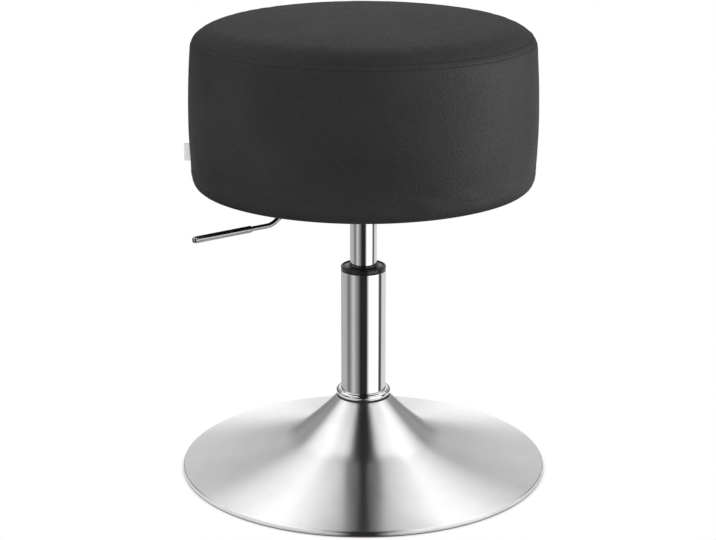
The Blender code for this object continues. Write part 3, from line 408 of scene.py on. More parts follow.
ply_layers, tree, shader = new_finish("ply_layers", Roughness=0.6, Specular_IOR_Level=0.3)
stretch = add_node(tree, "Mapping", None, Vector=place(tree), Scale=(1.0, 14.0, 60.0)).outputs[0]
figure = add_node(tree, "TexNoise", None, Vector=stretch, Scale=18.0, Detail=5.0, Distortion=0.4)
tinted(tree, shader, figure.outputs["Fac"], (0.3, (0.42, 0.27, 0.14)), (0.7, (0.62, 0.44, 0.26)))
embossed(tree, shader, figure.outputs["Fac"], 0.2, 0.0005)
print("finishes:", sorted(finish.name for finish in bpy.data.materials if finish.use_nodes))

# %% [markdown]
# ## Trumpet base
# The base is a steel sheet spun over a former: a flat land under the collar, a cone, a bend into a shallow
# dish that ends almost level, and a small rolled edge. Its slope is stated at a few radii and added up from
# the neck to the rim. The heights are then eased, because joints between arcs would show in the mirror
# finish. The sheet is turned first and given its wall afterwards.

# %% Work out the flare from its slopes
base_radius, base_low, base_high = turned_size("base_shell")
LAND_RADIUS = 28.0 * MM
EDGE_ROUND = 1.6 * MM
EDGE_LIP = 1.6 * MM
SLOPES = [(28.0, 47.0), (50.0, 41.5), (70.0, 38.0), (84.0, 19.5), (120.0, 14.5), (160.0, 9.5), (192.5, 7.0)]
FLARE_STEPS = 96
EASE_ROUNDS = 3
rim_radius = base_radius - EDGE_ROUND
rim_height = base_low + EDGE_LIP + EDGE_ROUND


def steepness(radius):
    """The tangent of the flare's slope at a radius, from the stated (radius in mm, degrees) pairs."""
    for (start, first), (end, second) in zip(SLOPES, SLOPES[1:]):
        if radius / MM <= end:
            share = (radius / MM - start) / (end - start)
            return math.tan(math.radians(first + (second - first) * share))
    return math.tan(math.radians(SLOPES[-1][1]))


flare_width = rim_radius - LAND_RADIUS
flare_radii = [LAND_RADIUS + flare_width * step / (FLARE_STEPS - 1) for step in range(FLARE_STEPS)]
falls = [0.0]
for inner, outer in zip(flare_radii, flare_radii[1:]):
    falls.append(falls[-1] + steepness((inner + outer) / 2) * (outer - inner))
flare_heights = [base_high + (rim_height - base_high) * fall / falls[-1] for fall in falls]
for repeat in range(EASE_ROUNDS):
    flare_heights[1:-1] = [(before + 2 * here + after) / 4 for before, here, after in zip(
        flare_heights, flare_heights[1:], flare_heights[2:])]
flare = list(zip(flare_radii, flare_heights))
print("flare from", round(base_high, 4), "down to", round(rim_height, 4), "m")

# %% Spin the base shell
BORE_RADIUS = 23.8 * MM
LAND_EASE = 1.2 * MM
SHEET = 1.5 * MM
EDGE_DROP = 1.3 * MM
EDGE_START = math.radians(83)


def edge_arc(centre, radius, start, end, count):
    """Points of an arc in the (radius, height) plane."""
    angles = [start + (end - start) * step / count for step in range(count + 1)]
    return [(centre[0] + radius * math.cos(angle), centre[1] + radius * math.sin(angle)) for angle in angles]


edge = edge_arc((rim_radius, rim_height - EDGE_ROUND), EDGE_ROUND, EDGE_START, 0.0, 6)
outline = [(BORE_RADIUS, base_high), (LAND_RADIUS - LAND_EASE, base_high)] + flare + edge
outline.append((base_radius, base_low - EDGE_DROP))
trumpet = piece(turn(outline, 192, closed=False), "trumpet_base", "base", spun_chrome,
                ["base_shell"], sharp=1.2)
wall(trumpet, SHEET)

# %% [markdown]
# ## Floor ring
# A flat rubber ring under the rim keeps steel off the floor. It sits a little behind the rim's edge, so
# that only bright metal shows there. Grooves moulded into its underside let it grip.

# %% Turn the floor ring
outer_radius, ring_low, ring_high = turned_size("floor_ring")
RING_INNER = 168.9 * MM
RING_SETBACK = 1.9 * MM
GROOVE_CIRCLES = (174.0 * MM, 180.0 * MM, 186.0 * MM)
GROOVE_RISE, GROOVE_MOUTH, GROOVE_FLAT = 0.7 * MM, 0.9 * MM, 0.5 * MM
ring_radius = outer_radius - RING_SETBACK
underside = []
for middle in GROOVE_CIRCLES:
    underside += [(middle - GROOVE_MOUTH, ring_low), (middle - GROOVE_FLAT, ring_low + GROOVE_RISE),
                  (middle + GROOVE_FLAT, ring_low + GROOVE_RISE), (middle + GROOVE_MOUTH, ring_low)]
outline = [(RING_INNER, ring_high), (RING_INNER, ring_low)] + underside
outline += [(ring_radius, ring_low), (ring_radius, ring_high)]
bm = turn(outline, 192)
round_off(bm, ring_edges(bm, (ring_radius, ring_low)) + ring_edges(bm, (ring_radius, ring_high)), 0.5 * MM, 3)
piece(bm, "floor_ring_rubber", "base", black_rubber, ["floor_ring"], sharp=0.5)

# %% [markdown]
# ## Column, collar and cap
# The column is a drawn tube with its top edge eased. The collar is a half-round trim ring with a rather
# square shoulder, which a superellipse draws. The cap is a glossy black moulding with an outer lip, a
# groove inside it and a small wiper that touches the lift tube.

# %% Turn the column tube
column_radius, column_low, column_high = turned_size("column_tube")
COLUMN_WALL = 1.5 * MM
COLUMN_BORE = column_radius - COLUMN_WALL
outline = [(COLUMN_BORE, column_low), (column_radius, column_low), (column_radius, column_high),
           (COLUMN_BORE, column_high)]
bm = turn(outline, 128)
round_off(bm, ring_edges(bm, (column_radius, column_high)), 0.35 * MM, 3)
piece(bm, "column_sleeve", "base", polished_chrome, ["column_tube"])

# %% Turn the collar
collar_radius, collar_low, collar_high = turned_size("base_collar")
COLLAR_BORE = 23.8 * MM
COLLAR_FULLNESS = 2.6
COLLAR_STEPS = 24
collar_middle = (collar_low + collar_high) / 2
collar_half = (collar_high - collar_low) / 2
outline = [(COLLAR_BORE, collar_high), (COLLAR_BORE, collar_low)]
for step in range(1, COLLAR_STEPS):
    angle = -math.pi / 2 + math.pi * step / COLLAR_STEPS
    out = abs(math.cos(angle)) ** (2 / COLLAR_FULLNESS)
    rise = math.copysign(abs(math.sin(angle)) ** (2 / COLLAR_FULLNESS), angle)
    outline.append((COLLAR_BORE + (collar_radius - COLLAR_BORE) * out, collar_middle + collar_half * rise))
piece(turn(outline, 128), "trim_collar", "base", polished_chrome, ["base_collar"], sharp=1.0)

# %% Lay a thin dark ring in the joint under the collar, as painted shade
# Painted shade: this black ring stands for the shadow in the joint between the collar and the base.
SHADE_RING_INNER, SHADE_RING_OUTER = 27.0 * MM, 28.3 * MM
shade_ring_top = base_high + 0.75 * MM
shade_ring_foot = base_high + 0.02 * MM
shade_ring_drip = base_high - 0.25 * MM
outline = [(SHADE_RING_INNER, shade_ring_foot), (LAND_RADIUS, shade_ring_foot), (SHADE_RING_OUTER, shade_ring_drip),
           (SHADE_RING_OUTER, shade_ring_top), (SHADE_RING_INNER, shade_ring_top)]
piece(turn(outline, 128), "collar_shade_ring", "base", black_rubber, sharp=0.6)

# %% Turn the cap
cap_radius, cap_low, cap_high = turned_size("column_cap")
CAP_BORE = 14.3 * MM
CAP_SPIGOT = 21.7 * MM
LIP_INNER, LIP_RISE = 21.3 * MM, 0.3 * MM
GROOVE_INNER, GROOVE_DEPTH = 20.4 * MM, 1.0 * MM
WIPER_OUTER, WIPER_FOOT = 15.6 * MM, 0.5 * MM
cap_seat = column_high + 0.3 * MM
cap_brow = cap_high - 1.5 * MM
cap_lip = cap_brow + LIP_RISE
groove_floor = cap_brow - GROOVE_DEPTH
outline = [(CAP_BORE, cap_low), (CAP_SPIGOT, cap_low), (CAP_SPIGOT, cap_seat), (cap_radius, cap_seat),
           (cap_radius, cap_lip), (LIP_INNER, cap_lip), (LIP_INNER, groove_floor),
           (GROOVE_INNER, groove_floor), (GROOVE_INNER, cap_brow), (WIPER_OUTER, cap_brow + WIPER_FOOT),
           (WIPER_OUTER, cap_high), (CAP_BORE, cap_high)]
bm = turn(outline, 128)
cap_rounds = [
    ((cap_radius, cap_lip), 1.1, 6), ((LIP_INNER, cap_lip), 0.6, 4), ((GROOVE_INNER, cap_brow), 0.4, 3),
    ((WIPER_OUTER, cap_high), 0.6, 4), ((cap_radius, cap_seat), 0.4, 3),
]
for corner, width, segments in cap_rounds:
    round_off(bm, ring_edges(bm, corner), width * MM, segments)
piece(bm, "column_cap_ring", "base", moulded_black, ["column_cap"], sharp=0.6)

# %% [markdown]
# ## Lift tube
# The bright pressure tube slides in the column and ends in a shallow taper that jams into the seat's
# socket.

# %% Turn the lift tube
tube_radius, tube_low, tube_high = turned_size("lift_tube")
TAPER_LENGTH = 24.0 * MM
TAPER_TOP = 13.3 * MM
TUBE_WALL = 1.5 * MM
TAPER_WALL = 0.9 * MM
tube_bore = tube_radius - TUBE_WALL
taper_start = tube_high - TAPER_LENGTH
outline = [(tube_bore, tube_low), (tube_radius, tube_low), (tube_radius, taper_start), (TAPER_TOP, tube_high),
           (TAPER_TOP - TAPER_WALL, tube_high), (tube_bore, taper_start)]
bm = turn(outline, 96)
round_off(bm, ring_edges(bm, (tube_radius, tube_low)) + ring_edges(bm, (TAPER_TOP, tube_high)), 0.4 * MM, 3)
piece(bm, "lift_tube_bright", "seat", polished_chrome, ["lift_tube"])

# %% [markdown]
# ## Release lever
# The lever is one bent rod. It starts in a hub on its pivot, runs out under the seat, drops through two
# tight bends and carries a thicker round-ended sleeve for the fingers. A sweep needs a path, so the corners
# are eased with short curves and a circle is swept along it as a curve object, which is then made a mesh.

# %% Sweep the lever rod
LEVER_TURN = math.radians(215)
ROD_RADIUS = 2.5 * MM
BEND_ROUND = 4.5 * MM
lever_corners = [(2.5 * MM, 302.7 * MM), (27.0 * MM, 302.7 * MM), (87.0 * MM, 298.8 * MM),
                 (112.6 * MM, 281.9 * MM), (203.0 * MM, 280.5 * MM)]


def eased(corners, reach):
    """A path in the (distance, height) plane with its corners rounded."""
    points = [Vector((*corners[0], 0))]
    for before, corner, after in zip(corners, corners[1:], corners[2:]):
        middle = Vector((*corner, 0))
        start = middle + (Vector((*before, 0)) - middle).normalized() * reach
        end = middle + (Vector((*after, 0)) - middle).normalized() * reach
        points += interpolate_bezier(start, start.lerp(middle, 0.55), end.lerp(middle, 0.55), end, 9)
    points.append(Vector((*corners[-1], 0)))
    return points


def along_lever(distance, height, side=0.0):
    """A point at a distance out along the lever's direction, and to its side."""
    return Vector((distance * math.cos(LEVER_TURN) - side * math.sin(LEVER_TURN),
                   distance * math.sin(LEVER_TURN) + side * math.cos(LEVER_TURN), height))


def swept(name, points, radius):
    """A mesh tube along a path of points."""
    line = bpy.data.curves.new(name + "_path", "CURVE")
    line.dimensions = "3D"
    line.bevel_depth = radius
    line.bevel_resolution = 7
    line.use_fill_caps = True
    spline = line.splines.new("POLY")
    spline.points.add(len(points) - 1)
    for spot, point in zip(spline.points, points):
        spot.co = (*point, 1.0)
    holder = bpy.data.objects.new(name + "_path", line)
    scene.collection.objects.link(holder)
    bpy.context.view_layer.update()
    mesh = bpy.data.meshes.new_from_object(holder.evaluated_get(bpy.context.evaluated_depsgraph_get()))
    bm = bmesh.new()
    bm.from_mesh(mesh)
    bmesh.ops.remove_doubles(bm, verts=bm.verts, dist=1e-6)
    bmesh.ops.recalc_face_normals(bm, faces=bm.faces)
    bpy.data.objects.remove(holder)
    bpy.data.meshes.remove(mesh)
    return bm


rod_path = [along_lever(point.x, point.y) for point in eased(lever_corners, BEND_ROUND)]
bm = swept("lever_bar", rod_path, ROD_RADIUS)
piece(bm, "lever_bar", "lever", satin_nickel, ["lever_rod"], sharp=1.0)

# %% Turn the lever's hub and its finger sleeve
HUB_RADIUS, HUB_BORE = 4.5 * MM, 1.7 * MM
HUB_HALF = 2.8 * MM
PIVOT = along_lever(27.0 * MM, 301.7 * MM)
PIVOT_AXIS = along_lever(0.0, 0.0, 1.0).normalized()


def lay_along(bm, direction, start):
    """Turns a piece made along Z to lie along a direction from a start point."""
    facing = direction.to_track_quat("Z", "Y").to_matrix().to_4x4()
    bmesh.ops.transform(bm, matrix=Matrix.Translation(start) @ facing, verts=bm.verts)
    return bm


bm = turn([(HUB_BORE, -HUB_HALF), (HUB_RADIUS, -HUB_HALF), (HUB_RADIUS, HUB_HALF), (HUB_BORE, HUB_HALF)], 40)
round_off(bm, ring_edges(bm, (HUB_RADIUS, -HUB_HALF)) + ring_edges(bm, (HUB_RADIUS, HUB_HALF)), 0.5 * MM, 3)
piece(lay_along(bm, PIVOT_AXIS, PIVOT), "lever_hub", "lever", zinc_plate)

GRIP_RADIUS = 3.45 * MM
GRIP_LENGTH = 67.0 * MM
GRIP_START = (136.7 * MM, 281.53 * MM)
grip_start = along_lever(*GRIP_START)
grip_way = (along_lever(*lever_corners[-1]) - along_lever(*lever_corners[-2])).normalized()
outline = [(0.0, 0.0), (GRIP_RADIUS, 0.0), (GRIP_RADIUS, GRIP_LENGTH - GRIP_RADIUS)]
outline += edge_arc((0.0, GRIP_LENGTH - GRIP_RADIUS), GRIP_RADIUS, 0.0, math.pi / 2, 8)[1:]
bm = turn(outline, 48, closed=False)
round_off(bm, ring_edges(bm, (GRIP_RADIUS, 0.0)), 0.8 * MM, 4)
lay_along(bm, grip_way, grip_start)
piece(bm, "lever_sleeve", "lever", satin_nickel, ["lever_grip"], sharp=1.0)

# %% [markdown]
# ## Seat mechanism
# Under the seat a pressed steel plate carries the socket, welded round its top, and a small channel that
# holds the lever's pivot. Beads pressed into the plate stiffen it between the socket and the bolts. The
# edges are rounded, because real pressed steel has no sharp corner.

# %% Press the mounting plate
plate_low, plate_high = 307.0 * MM, 309.5 * MM
PLATE_HALF = 75.0 * MM
PLATE_CORNER = 14.0 * MM
BEAD_OUT = 50.0 * MM
BEAD_HALF = (19.0 * MM, 5.0 * MM, 1.3 * MM)
turned_frame = Matrix.Rotation(LEVER_TURN, 4, "Z")
bm = bmesh.new()
bmesh.ops.create_cube(bm, size=1.0)
bmesh.ops.scale(bm, vec=(2 * PLATE_HALF, 2 * PLATE_HALF, plate_high - plate_low), verts=bm.verts)
uprights = [edge for edge in bm.edges if abs(edge.verts[0].co.z - edge.verts[1].co.z) > MM]
round_off(bm, uprights, PLATE_CORNER, 8)
round_off(bm, sharp_edges(bm, 1.0), 0.6 * MM, 3)
bmesh.ops.translate(bm, vec=(0, 0, (plate_low + plate_high) / 2), verts=bm.verts)
for corner in range(4):
    bead = bmesh.ops.create_uvsphere(bm, u_segments=20, v_segments=10, radius=1.0)["verts"]
    reach = Matrix.Rotation(TURN * (corner + 0.5) / 4, 4, "Z") @ Matrix.Translation((BEAD_OUT, 0, plate_low))
    bmesh.ops.transform(bm, matrix=reach @ Matrix.Diagonal((*BEAD_HALF, 1)), verts=bead)
bmesh.ops.transform(bm, matrix=turned_frame, verts=bm.verts)
piece(bm, "mounting_plate", "seat", powder_black, ["seat_plate"], sharp=0.6)

# %% Turn the socket with its weld
socket_radius, socket_low, socket_high = 19.0 * MM, 272.2 * MM, 306.7 * MM
SOCKET_BORE = 14.15 * MM
WELD_ROUND, WELD_BITE = 2.2 * MM, 0.4 * MM
WELD_RIPPLE, WELD_BEADS = 0.25 * MM, 48
outline = [(SOCKET_BORE, socket_low), (socket_radius, socket_low), (socket_radius, socket_high),
           (SOCKET_BORE, socket_high)]
bm = turn(outline, 96)
round_off(bm, ring_edges(bm, (socket_radius, socket_low)), 1.6 * MM, 4)
round_off(bm, ring_edges(bm, (SOCKET_BORE, socket_low)), 0.6 * MM, 3)
piece(bm, "socket_boss", "seat", powder_black, ["taper_socket"], sharp=0.6)
weld = edge_arc((socket_radius, socket_high), WELD_ROUND, -math.pi / 2, 0.0, 5)
bm = turn([(socket_radius - WELD_BITE, socket_high)] + weld, 144)
for vert in bm.verts:
    ripple = WELD_RIPPLE * math.sin(WELD_BEADS * math.atan2(vert.co.y, vert.co.x))
    vert.co.z = min(vert.co.z + ripple, socket_high)
piece(bm, "socket_weld", "seat", powder_black)

# %% Fold the lever channel and set its pin
CHANNEL_START, CHANNEL_LENGTH = 19.3 * MM, 14.7 * MM
CHANNEL_TOP, CHANNEL_FLOOR, CHANNEL_FOOT = 306.7, 296.2, 294.2
EAR_OUT, EAR_IN = 5.1, 3.1
ears = [(EAR_OUT, CHANNEL_TOP), (EAR_OUT, CHANNEL_FOOT), (-EAR_OUT, CHANNEL_FOOT), (-EAR_OUT, CHANNEL_TOP),
        (-EAR_IN, CHANNEL_TOP), (-EAR_IN, CHANNEL_FLOOR), (EAR_IN, CHANNEL_FLOOR), (EAR_IN, CHANNEL_TOP)]
bm = bmesh.new()
corners = [along_lever(CHANNEL_START, height * MM, side * MM) for side, height in ears]
section = bm.faces.new([bm.verts.new(corner) for corner in corners])
pushed = bmesh.ops.extrude_face_region(bm, geom=[section])["geom"]
moved = [item for item in pushed if isinstance(item, bmesh.types.BMVert)]
bmesh.ops.translate(bm, vec=along_lever(CHANNEL_LENGTH, 0.0), verts=moved)
bmesh.ops.recalc_face_normals(bm, faces=bm.faces)
round_off(bm, sharp_edges(bm, 1.0), 0.5 * MM, 3)
piece(bm, "lever_channel", "seat", powder_black, ["lever_bracket"], sharp=0.8)
PIN_RADIUS, PIN_HEAD = 1.5 * MM, 2.6 * MM
PIN_START, HEAD_END, PIN_END = -7.0 * MM, -5.4 * MM, 6.6 * MM
bm = turn([(0, PIN_START), (PIN_HEAD, PIN_START), (PIN_HEAD, HEAD_END), (PIN_RADIUS, HEAD_END),
           (PIN_RADIUS, PIN_END), (0, PIN_END)], 32, closed=False)
round_off(bm, ring_edges(bm, (PIN_HEAD, PIN_START)) + ring_edges(bm, (PIN_RADIUS, PIN_END)), 0.4 * MM, 3)
lay_along(bm, PIVOT_AXIS, PIVOT)
piece(bm, "pivot_rivet", "seat", zinc_plate, ["pivot_pin"], sharp=0.6)

# %% Make the four flange bolts
FLANGE_RADIUS, FLANGE_MIDDLE, FLANGE_THICK = 7.0 * MM, 306.1 * MM, 1.2 * MM
HEAD_RADIUS, HEAD_MIDDLE, HEAD_THICK = 5.8 * MM, 303.6 * MM, 4.2 * MM
SHANK_RADIUS, SHANK_START = 3.0 * MM, 306.6 * MM


def add_round(bm, segments, radius, depth, matrix):
    """Adds a straight round or many-sided bar to a piece."""
    bmesh.ops.create_cone(bm, cap_ends=True, segments=segments, radius1=radius, radius2=radius, depth=depth,
                          matrix=matrix)


for number in range(4):
    bolt_node = "plate_bolt_%d" % (number + 1)
    low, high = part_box(bolt_node)
    middle = (low + high) / 2
    bm = bmesh.new()
    add_round(bm, 36, FLANGE_RADIUS, FLANGE_THICK, Matrix.Translation((middle.x, middle.y, FLANGE_MIDDLE)))
    head = Matrix.Translation((middle.x, middle.y, HEAD_MIDDLE)) @ Matrix.Rotation(0.3 + number, 4, "Z")
    add_round(bm, 6, HEAD_RADIUS, HEAD_THICK, head)
    shank = Matrix.Translation((middle.x, middle.y, (SHANK_START + high.z) / 2))
    add_round(bm, 24, SHANK_RADIUS, high.z - SHANK_START, shank)
    round_off(bm, sharp_edges(bm, 0.9), 0.4 * MM, 2)
    piece(bm, "flange_bolt_%d" % (number + 1), "seat", zinc_plate, [bolt_node], sharp=0.5)

# %% [markdown]
# ## Seat outline
# The cover follows one outline from the middle of the crown to the lip under the board: a low parabola on
# top, an ellipse over the shoulder, a side that is widest below its middle, a superellipse heel and a flat
# lip. It is resampled by arc length, with close rings where the panels are sewn and wider ones between.

# %% Draw the seat outline and measure along it
CROWN_RADIUS, CROWN_RISE = 143.15 * MM, 12.9 * MM
SHOULDER_CENTRE = (126.9 * MM, 452.6 * MM)
SHOULDER_OUT, SHOULDER_UP = 47.9 * MM, 23.9 * MM
SHOULDER_START = math.radians(70.2)
WIDEST_RADIUS, WIDEST_HEIGHT = 178.1 * MM, 376.2 * MM
TOP_PULL, HEEL_PULL = 3.3 * MM, 1.6 * MM
HEEL_CENTRE = (162.4 * MM, 338.0 * MM)
HEEL_OUT, HEEL_DOWN, HEEL_FULLNESS = 14.1 * MM, 27.4 * MM, 3.7
LIP_RADIUS = 140.5 * MM
SEAM_ANGLE = math.radians(12.1)
STITCH_ANGLE = math.radians(25.0)
seat_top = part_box("cover_top")[1].z
seat_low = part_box("cover_side")[0].z


def shoulder(angle):
    """A point on the shoulder's ellipse."""
    across, up = SHOULDER_CENTRE
    return (across + SHOULDER_OUT * math.cos(angle), up + SHOULDER_UP * math.sin(angle))


def heel(angle):
    """A point on the heel, from its widest at 0 down to the lip at a quarter turn."""
    out = math.cos(angle) ** (2 / HEEL_FULLNESS) if angle < math.pi / 2 - 1e-9 else 0.0
    down = math.sin(angle) ** (2 / HEEL_FULLNESS)
    return (HEEL_CENTRE[0] + HEEL_OUT * out, HEEL_CENTRE[1] - HEEL_DOWN * down)


def shares(count):
    """Even steps from 0 to 1, without the 0."""
    return [(step + 1) / count for step in range(count)]


fine = [(0.0, seat_top)]
fine += [(CROWN_RADIUS * share, seat_top - CROWN_RISE * share * share) for share in shares(300)]
fine += [shoulder(SHOULDER_START * (1 - share)) for share in shares(160)]
for share in shares(160):
    height = SHOULDER_CENTRE[1] + (WIDEST_HEIGHT - SHOULDER_CENTRE[1]) * share
    fine.append((WIDEST_RADIUS - TOP_PULL * (1 - share) ** 2, height))
for share in shares(80):
    height = WIDEST_HEIGHT + (HEEL_CENTRE[1] - WIDEST_HEIGHT) * share
    fine.append((WIDEST_RADIUS - HEEL_PULL * share ** 2, height))
fine += [heel(math.pi / 2 * share) for share in shares(160)]
fine += [(HEEL_CENTRE[0] + (LIP_RADIUS - HEEL_CENTRE[0]) * share, seat_low) for share in shares(40)]
run = [0.0]
for before, after in zip(fine, fine[1:]):
    run.append(run[-1] + math.dist(before, after))


def run_at(point):
    """How far along the outline its nearest point lies."""
    return run[min(range(len(fine)), key=lambda index: math.dist(fine[index], point))]


def outline_at(distance):
    """The outline's point at a distance along it, and its outward normal."""
    distance = min(max(distance, 0.0), run[-1])
    index = next(index for index in range(1, len(run)) if run[index] >= distance)
    share = (distance - run[index - 1]) / (run[index] - run[index - 1])
    start, end = Vector(fine[index - 1]), Vector(fine[index])
    before, after = Vector(fine[max(index - 3, 0)]), Vector(fine[min(index + 2, len(fine) - 1)])
    way = (after - before).normalized()
    return start.lerp(end, share), Vector((-way.y, way.x))


seam_run = run_at(shoulder(SEAM_ANGLE))
stitch_run = run_at(shoulder(STITCH_ANGLE))
lip_run = run_at(heel(math.pi / 2))
print("outline", round(run[-1], 4), "m, seam at", round(seam_run, 4), "stitch line at", round(stitch_run, 4))

# %% [markdown]
# ## Cover panels
# The cover is a top panel and a side panel sewn together over foam. The seam pulls a sharp valley into the
# foam and the stitch line above it a shallower one. A slightly small copy of the form is blown up by a
# cloth simulation that is pinned along seam, stitch line and lip. What it adds unevenly round each ring is
# kept.

# %% Choose the rings and turn the cover
SEAM_DEPTH, SEAM_WIDTH = 0.7 * MM, 0.6 * MM
STITCH_DEPTH, STITCH_WIDTH = 0.2 * MM, 1.2 * MM
SEWN_REACH = 14.0 * MM
LIP_TIGHT, LIP_REACH = 6.0 * MM, 22.0 * MM
COVER_STEPS = 224
SEAM_OFFSETS = [offset * MM for offset in (-4.2, -2.6, -1.6, -0.9, -0.4, 0.0, 0.4, 0.9, 1.6, 2.6, 4.2)]
STITCH_OFFSETS = [offset * MM for offset in (-3.0, -1.4, -0.5, 0.5, 1.4)]


def spread(start, end, spacing):
    """Even distances between two, both left out."""
    count = max(1, round((end - start) / spacing))
    return [start + (end - start) * step / count for step in range(1, count)]


seam_rings = [seam_run + offset for offset in SEAM_OFFSETS]
stitch_rings = [stitch_run + offset for offset in STITCH_OFFSETS if stitch_run + offset < seam_rings[0]]
rings = [0.0] + spread(0.0, stitch_rings[0], 4.6 * MM) + stitch_rings
rings += spread(stitch_rings[-1], seam_rings[0], 1.6 * MM) + seam_rings
heel_run = run_at(heel(0.0))
rings += spread(seam_rings[-1], heel_run, 4.6 * MM) + [heel_run]
past_lip = lip_run + 4.0 * MM
rings += spread(heel_run, past_lip, 2.6 * MM) + spread(past_lip, run[-1], 4.5 * MM) + [run[-1]]


def sewn_depth(distance):
    """How far the sewing lines pull the cover in at a distance along the outline."""
    seam = SEAM_DEPTH * math.exp(-abs(distance - seam_run) / SEAM_WIDTH)
    stitch = STITCH_DEPTH * math.exp(-((distance - stitch_run) / STITCH_WIDTH) ** 2)
    return max(seam, stitch)


def slackness(distance):
    """0 on a sewing line and on the lip, 1 in the open panels."""
    near = min(abs(distance - seam_run) / SEWN_REACH, abs(distance - stitch_run) / SEWN_REACH,
               max(lip_run - LIP_TIGHT - distance, 0.0) / LIP_REACH, 1.0)
    return near * near * (3 - 2 * near)


profile = []
ring_normals = []
for distance in rings:
    point, normal = outline_at(distance)
    profile.append(tuple(point - normal * sewn_depth(distance)))
    ring_normals.append(normal)
profile[0] = (0.0, seat_top)
cover_bm = turn(profile, COVER_STEPS, closed=False)
print("cover rings", len(rings), "faces", len(cover_bm.faces))

# %% Mark each vertex with its ring and draw the columns together at the side seam
SIDE_SEAM = math.pi
COLUMN_PINCH = 0.6
ring_layer = cover_bm.verts.layers.int.new("ring")
ring_finder = kdtree.KDTree(len(profile))
for index, (radius, height) in enumerate(profile):
    ring_finder.insert((radius, height, 0.0), index)
ring_finder.balance()
for vert in cover_bm.verts:
    radius = math.hypot(vert.co.x, vert.co.y)
    vert[ring_layer] = ring_finder.find((radius, vert.co.z, 0.0))[1]
    angle = math.atan2(vert.co.y, vert.co.x)
    angle += COLUMN_PINCH * math.sin(angle)
    vert.co.x, vert.co.y = radius * math.cos(angle), radius * math.sin(angle)
places = [(vert[ring_layer], math.atan2(vert.co.y, vert.co.x)) for vert in cover_bm.verts]


def cover_point(ring, angle, lift=0.0):
    """A place on the fitted cover, lifted along its normal."""
    radius, height = Vector(profile[ring]) + ring_normals[ring] * lift
    return Vector((radius * math.cos(angle), radius * math.sin(angle), height))


# %% Blow the cover up and keep what the cloth adds to the fitted form
BLOW_FRAMES = 20
PRESSURE = 4.0
SWELL = 1.6 * MM
EXTRA_CLOTH = 0.002
KEPT = 0.4 * MM
START_UNEVEN, START_SCALE = 0.2 * MM, 14.0
LOOSEST = 0.98


def unevenness(angle, ring, scale):
    """Slow unevenness over the cover, from -1 to 1, the same on every run."""
    radius, height = profile[ring]
    return noise.noise(Vector((radius * math.cos(angle), radius * math.sin(angle), height)) * scale)


def blown_lifts():
    """Runs the cloth and returns how far each vertex lifts compared with its ring."""
    trial = bpy.data.meshes.new("cover_trial")
    cover_bm.to_mesh(trial)
    starts = []
    for vert, (ring, angle) in zip(trial.vertices, places):
        slack = slackness(rings[ring])
        drop = SWELL + START_UNEVEN * unevenness(angle, ring, START_SCALE)
        vert.co = cover_point(ring, angle, -slack * drop)
        starts.append(vert.co.copy())
    holder = bpy.data.objects.new("cover_trial", trial)
    scene.collection.objects.link(holder)
    sewn = holder.vertex_groups.new(name="sewn")
    for index, (ring, angle) in enumerate(places):
        sewn.add([index], 1.0 - LOOSEST * slackness(rings[ring]), "REPLACE")
    cloth = holder.modifiers.new("cloth", "CLOTH")
    cloth.settings.quality = 5
    cloth.settings.mass = 0.3
    cloth.settings.tension_stiffness = 25.0
    cloth.settings.compression_stiffness = 25.0
    cloth.settings.shear_stiffness = 8.0
    cloth.settings.bending_stiffness = 1.5
    cloth.settings.shrink_min = -EXTRA_CLOTH
    cloth.settings.use_pressure = True
    cloth.settings.uniform_pressure_force = PRESSURE
    cloth.settings.vertex_group_mass = "sewn"
    cloth.settings.effector_weights.gravity = 0.0
    cloth.point_cache.frame_start = 1
    cloth.point_cache.frame_end = BLOW_FRAMES
    for number in range(1, BLOW_FRAMES + 1):
        scene.frame_set(number)
    blown = bpy.data.meshes.new_from_object(holder.evaluated_get(bpy.context.evaluated_depsgraph_get()))
    lifts = []
    for vert, (ring, angle) in zip(blown.vertices, places):
        normal = ring_normals[ring]
        outward = Vector((normal.x * math.cos(angle), normal.x * math.sin(angle), normal.y))
        lifts.append((vert.co - starts[vert.index]).dot(outward))
    scene.frame_set(1)
    bpy.data.objects.remove(holder)
    sums = {}
    for lift, (ring, angle) in zip(lifts, places):
        sums.setdefault(ring, []).append(lift)
    means = {ring: sum(values) / len(values) for ring, values in sums.items()}
    print("cloth lift, mean by ring:", [round(means[ring] / MM, 2) for ring in sorted(means)][::6], "mm")
    return [min(max(lift - means[ring], -KEPT), KEPT) for lift, (ring, angle) in zip(lifts, places)]


lifts = blown_lifts()
print("kept unevenness", round(min(lifts) / MM, 2), "to", round(max(lifts) / MM, 2), "mm")

# %% Add gathers at the sewing lines and lay the cover in place
GATHER, GATHER_REACH, GATHER_SCALE = 0.15 * MM, 7.0 * MM, 70.0
SIDE_DEPTH, SIDE_WIDTH = 0.9 * MM, 1.6 * MM
PLEAT, PLEAT_SCALE, PLEAT_LOWEST = 0.5 * MM, 90.0, -0.2
pleat_start = lip_run - 3.0 * MM
pleat_end = run[-1] - 14.0 * MM
seam_ring = rings.index(seam_run)
cover_bm.verts.ensure_lookup_table()
for vert, lift, (ring, angle) in zip(cover_bm.verts, lifts, places):
    distance = rings[ring]
    radius = max(profile[ring][0], 1 * MM)
    near = math.exp(-min(abs(distance - seam_run), abs(distance - stitch_run)) / GATHER_REACH)
    lift += GATHER * near * unevenness(angle, ring, GATHER_SCALE)
    if ring > seam_ring:
        off = abs(math.atan2(math.sin(angle - SIDE_SEAM), math.cos(angle - SIDE_SEAM))) * radius
        lift -= SIDE_DEPTH * math.exp(-off / SIDE_WIDTH)
    if pleat_start < distance < pleat_end:
        lift += PLEAT * max(unevenness(angle, ring, PLEAT_SCALE), PLEAT_LOWEST)
    if ring:
        vert.co = cover_point(ring, angle, lift)

# %% Split the cover at its seam into two panels of real thickness
COVER_THICK = 1.1 * MM


